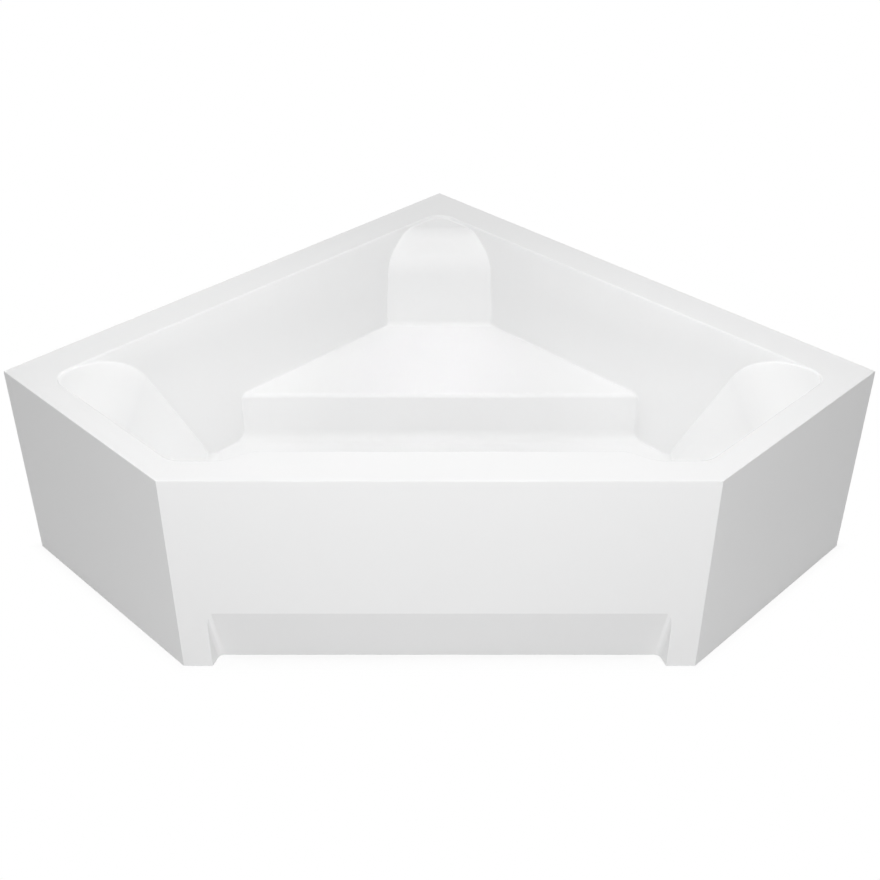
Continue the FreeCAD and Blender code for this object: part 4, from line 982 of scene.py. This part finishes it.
def buildFloor():
    half = studio["floorSize"] / 2
    mesh = bpy.data.meshes.new("studioFloor")
    signs = ((-1, -1), (1, -1), (1, 1), (-1, 1))
    mesh.from_pydata([(one * half, two * half, studio["floorAt"]) for one, two in signs], [], [(0, 1, 2, 3)])
    floor = bpy.data.objects.new("studioFloor", mesh)
    bpy.context.scene.collection.objects.link(floor)
    material, tree, shader = startMaterial("studioFloor", Roughness=0.9)
    output = tree.nodes["Material Output"]
    place = addNode(tree, "ShaderNodeTexCoord", (-1500, 0))
    parts = addNode(tree, "ShaderNodeSeparateXYZ", (-1300, 0))
    wire(tree, place, parts, "Object", 0)
    across = maths(tree, "ABSOLUTE", (parts, "X"), None, (-1120, 0))
    away = None
    for number, (sideways, depth, limit) in enumerate(footprint):
        one = maths(tree, "MULTIPLY", (across, 0), sideways, (-960, -160 * number))
        both = maths(tree, "MULTIPLY_ADD", (parts, "Y"), depth, (-820, -160 * number))
        wire(tree, one, both, 0, 2)
        past = maths(tree, "SUBTRACT", (both, 0), limit, (-680, -160 * number))
        away = past if away is None else maths(tree, "MAXIMUM", (away, 0), (past, 0), (-560, -160 * number))
    fade = addNode(tree, "ShaderNodeMapRange", (-420, 0),
                   {"From Min": studio["fadeStart"], "From Max": studio["fadeEnd"]},
                   interpolation_type="SMOOTHSTEP")
    wire(tree, away, fade, 0, "Value")
    path = addNode(tree, "ShaderNodeLightPath", (-700, -300))
    seen = maths(tree, "MAXIMUM", (path, "Is Camera Ray"), (path, "Is Glossy Ray"), (-400, -300))
    tone = mixed(tree, (seen, 0), studio["floorBounce"], studio["floorSeen"], (-200, 200))
    wire(tree, tone, shader, 2, "Base Color")
    share = maths(tree, "MULTIPLY", (seen, 0), (fade, 0), (-200, -200))
    white = addNode(tree, "ShaderNodeEmission", (0, -200), {"Color": (1, 1, 1, 1), "Strength": 1.0})
    both = addNode(tree, "ShaderNodeMixShader", (300, 0))
    wire(tree, share, both, 0, 0)
    wire(tree, shader, both, 0, 1)
    wire(tree, white, both, 0, 2)
    wire(tree, both, output, 0, "Surface")
    mesh.materials.append(material)


def buildWorld():
    world = bpy.data.worlds.new("studioWorld")
    bpy.context.scene.world = world
    world.use_nodes = True
    tree = world.node_tree
    plain = tree.nodes["Background"]
    plain.inputs["Color"].default_value = (1, 1, 1, 1)
    plain.inputs["Strength"].default_value = studio["worldLight"]
    white = addNode(tree, "ShaderNodeBackground", (0, -200), {"Color": (1, 1, 1, 1), "Strength": 1.0})
    path = addNode(tree, "ShaderNodeLightPath", (-600, 200))
    seen = maths(tree, "MAXIMUM", (path, "Is Camera Ray"), (path, "Is Glossy Ray"), (-400, 200))
    through = maths(tree, "MAXIMUM", (seen, 0), (path, "Is Transmission Ray"), (-200, 200))
    both = addNode(tree, "ShaderNodeMixShader", (200, 0))
    wire(tree, through, both, 0, 0)
    wire(tree, plain, both, 0, 1)
    wire(tree, white, both, 0, 2)
    wire(tree, both, tree.nodes["World Output"], 0, "Surface")


lamps = {
    "lowSoftbox": {"size": (2.4, 0.8), "at": (0.0, -3.6, 0.6), "aim": (0.0, -0.5, 0.3), "power": 23.3},
    "keySoftbox": {"size": (2.4, 1.5), "at": (0.0, -3.7, 2.3), "aim": (0.0, -0.5, 0.3), "power": 23.8},
    "nearSoftbox": {"size": (2.0, 1.0), "at": (0.0, -1.8, 2.8), "aim": (0.0, -0.4, 0.3), "power": 32.7},
    "highSoftbox": {"size": (3.0, 1.6), "at": (0.0, -1.6, 3.8), "aim": (0.0, -0.2, 0.3), "power": 24.1},
    "topSoftbox": {"size": (2.4, 2.4), "at": (0.0, 0.2, 3.4), "aim": (0.0, 0.0, 0.3), "power": 11.7},
    "backSoftboxLeft": {"size": (1.2, 1.2), "at": (-2.0, 2.0, 2.2), "aim": (0.6, -0.2, 0.3), "power": 15.7},
    "backSoftboxRight": {"size": (1.2, 1.2), "at": (2.0, 2.0, 2.2), "aim": (-0.6, -0.2, 0.3), "power": 15.7},
    "seatLamp": {"size": (0.2, 0.16), "at": (0.0, 0.05, 2.9), "aim": (0.0, 0.2, 0.24), "power": 0.075,
                 "spread": 13},
    "restLampLeft": {"size": (0.5, 0.5), "at": (-1.5, 0.3, 1.9), "aim": (0.68, -0.3, 0.22), "power": 0.27,
                     "spread": 24},
    "restLampRight": {"size": (0.5, 0.5), "at": (1.5, 0.3, 1.9), "aim": (-0.68, -0.3, 0.22), "power": 0.27,
                      "spread": 24},
}


def buildLamps():
    for name, lamp in lamps.items():
        light = bpy.data.lights.new(name, "AREA")
        light.shape = "RECTANGLE"
        light.size, light.size_y = lamp["size"]
        light.energy = lamp["power"]
        light.spread = math.radians(lamp.get("spread", 180))
        holder = bpy.data.objects.new(name, light)
        bpy.context.scene.collection.objects.link(holder)
        holder.location = lamp["at"]
        holder.rotation_euler = (Vector(lamp["aim"]) - Vector(lamp["at"])).to_track_quat("-Z", "Y").to_euler()
        holder.visible_camera = False
        holder.visible_glossy = False


def buildCamera():
    view = {"lens": 52.87, "sensor": 36.0, "at": (0.0, -2.7914, 2.0423), "tilt": 55.517, "shiftX": 0.0006}
    camera = bpy.data.cameras.new("photoCamera")
    camera.lens = view["lens"]
    camera.sensor_width = view["sensor"]
    camera.shift_x = view["shiftX"]
    holder = bpy.data.objects.new("photoCamera", camera)
    bpy.context.scene.collection.objects.link(holder)
    holder.location = view["at"]
    holder.rotation_euler = Euler((math.radians(view["tilt"]), 0, 0))
    bpy.context.scene.camera = holder


buildFloor()
buildWorld()
buildLamps()
buildCamera()
bpy.context.scene.view_settings.view_transform = "Standard"
print("studio set")
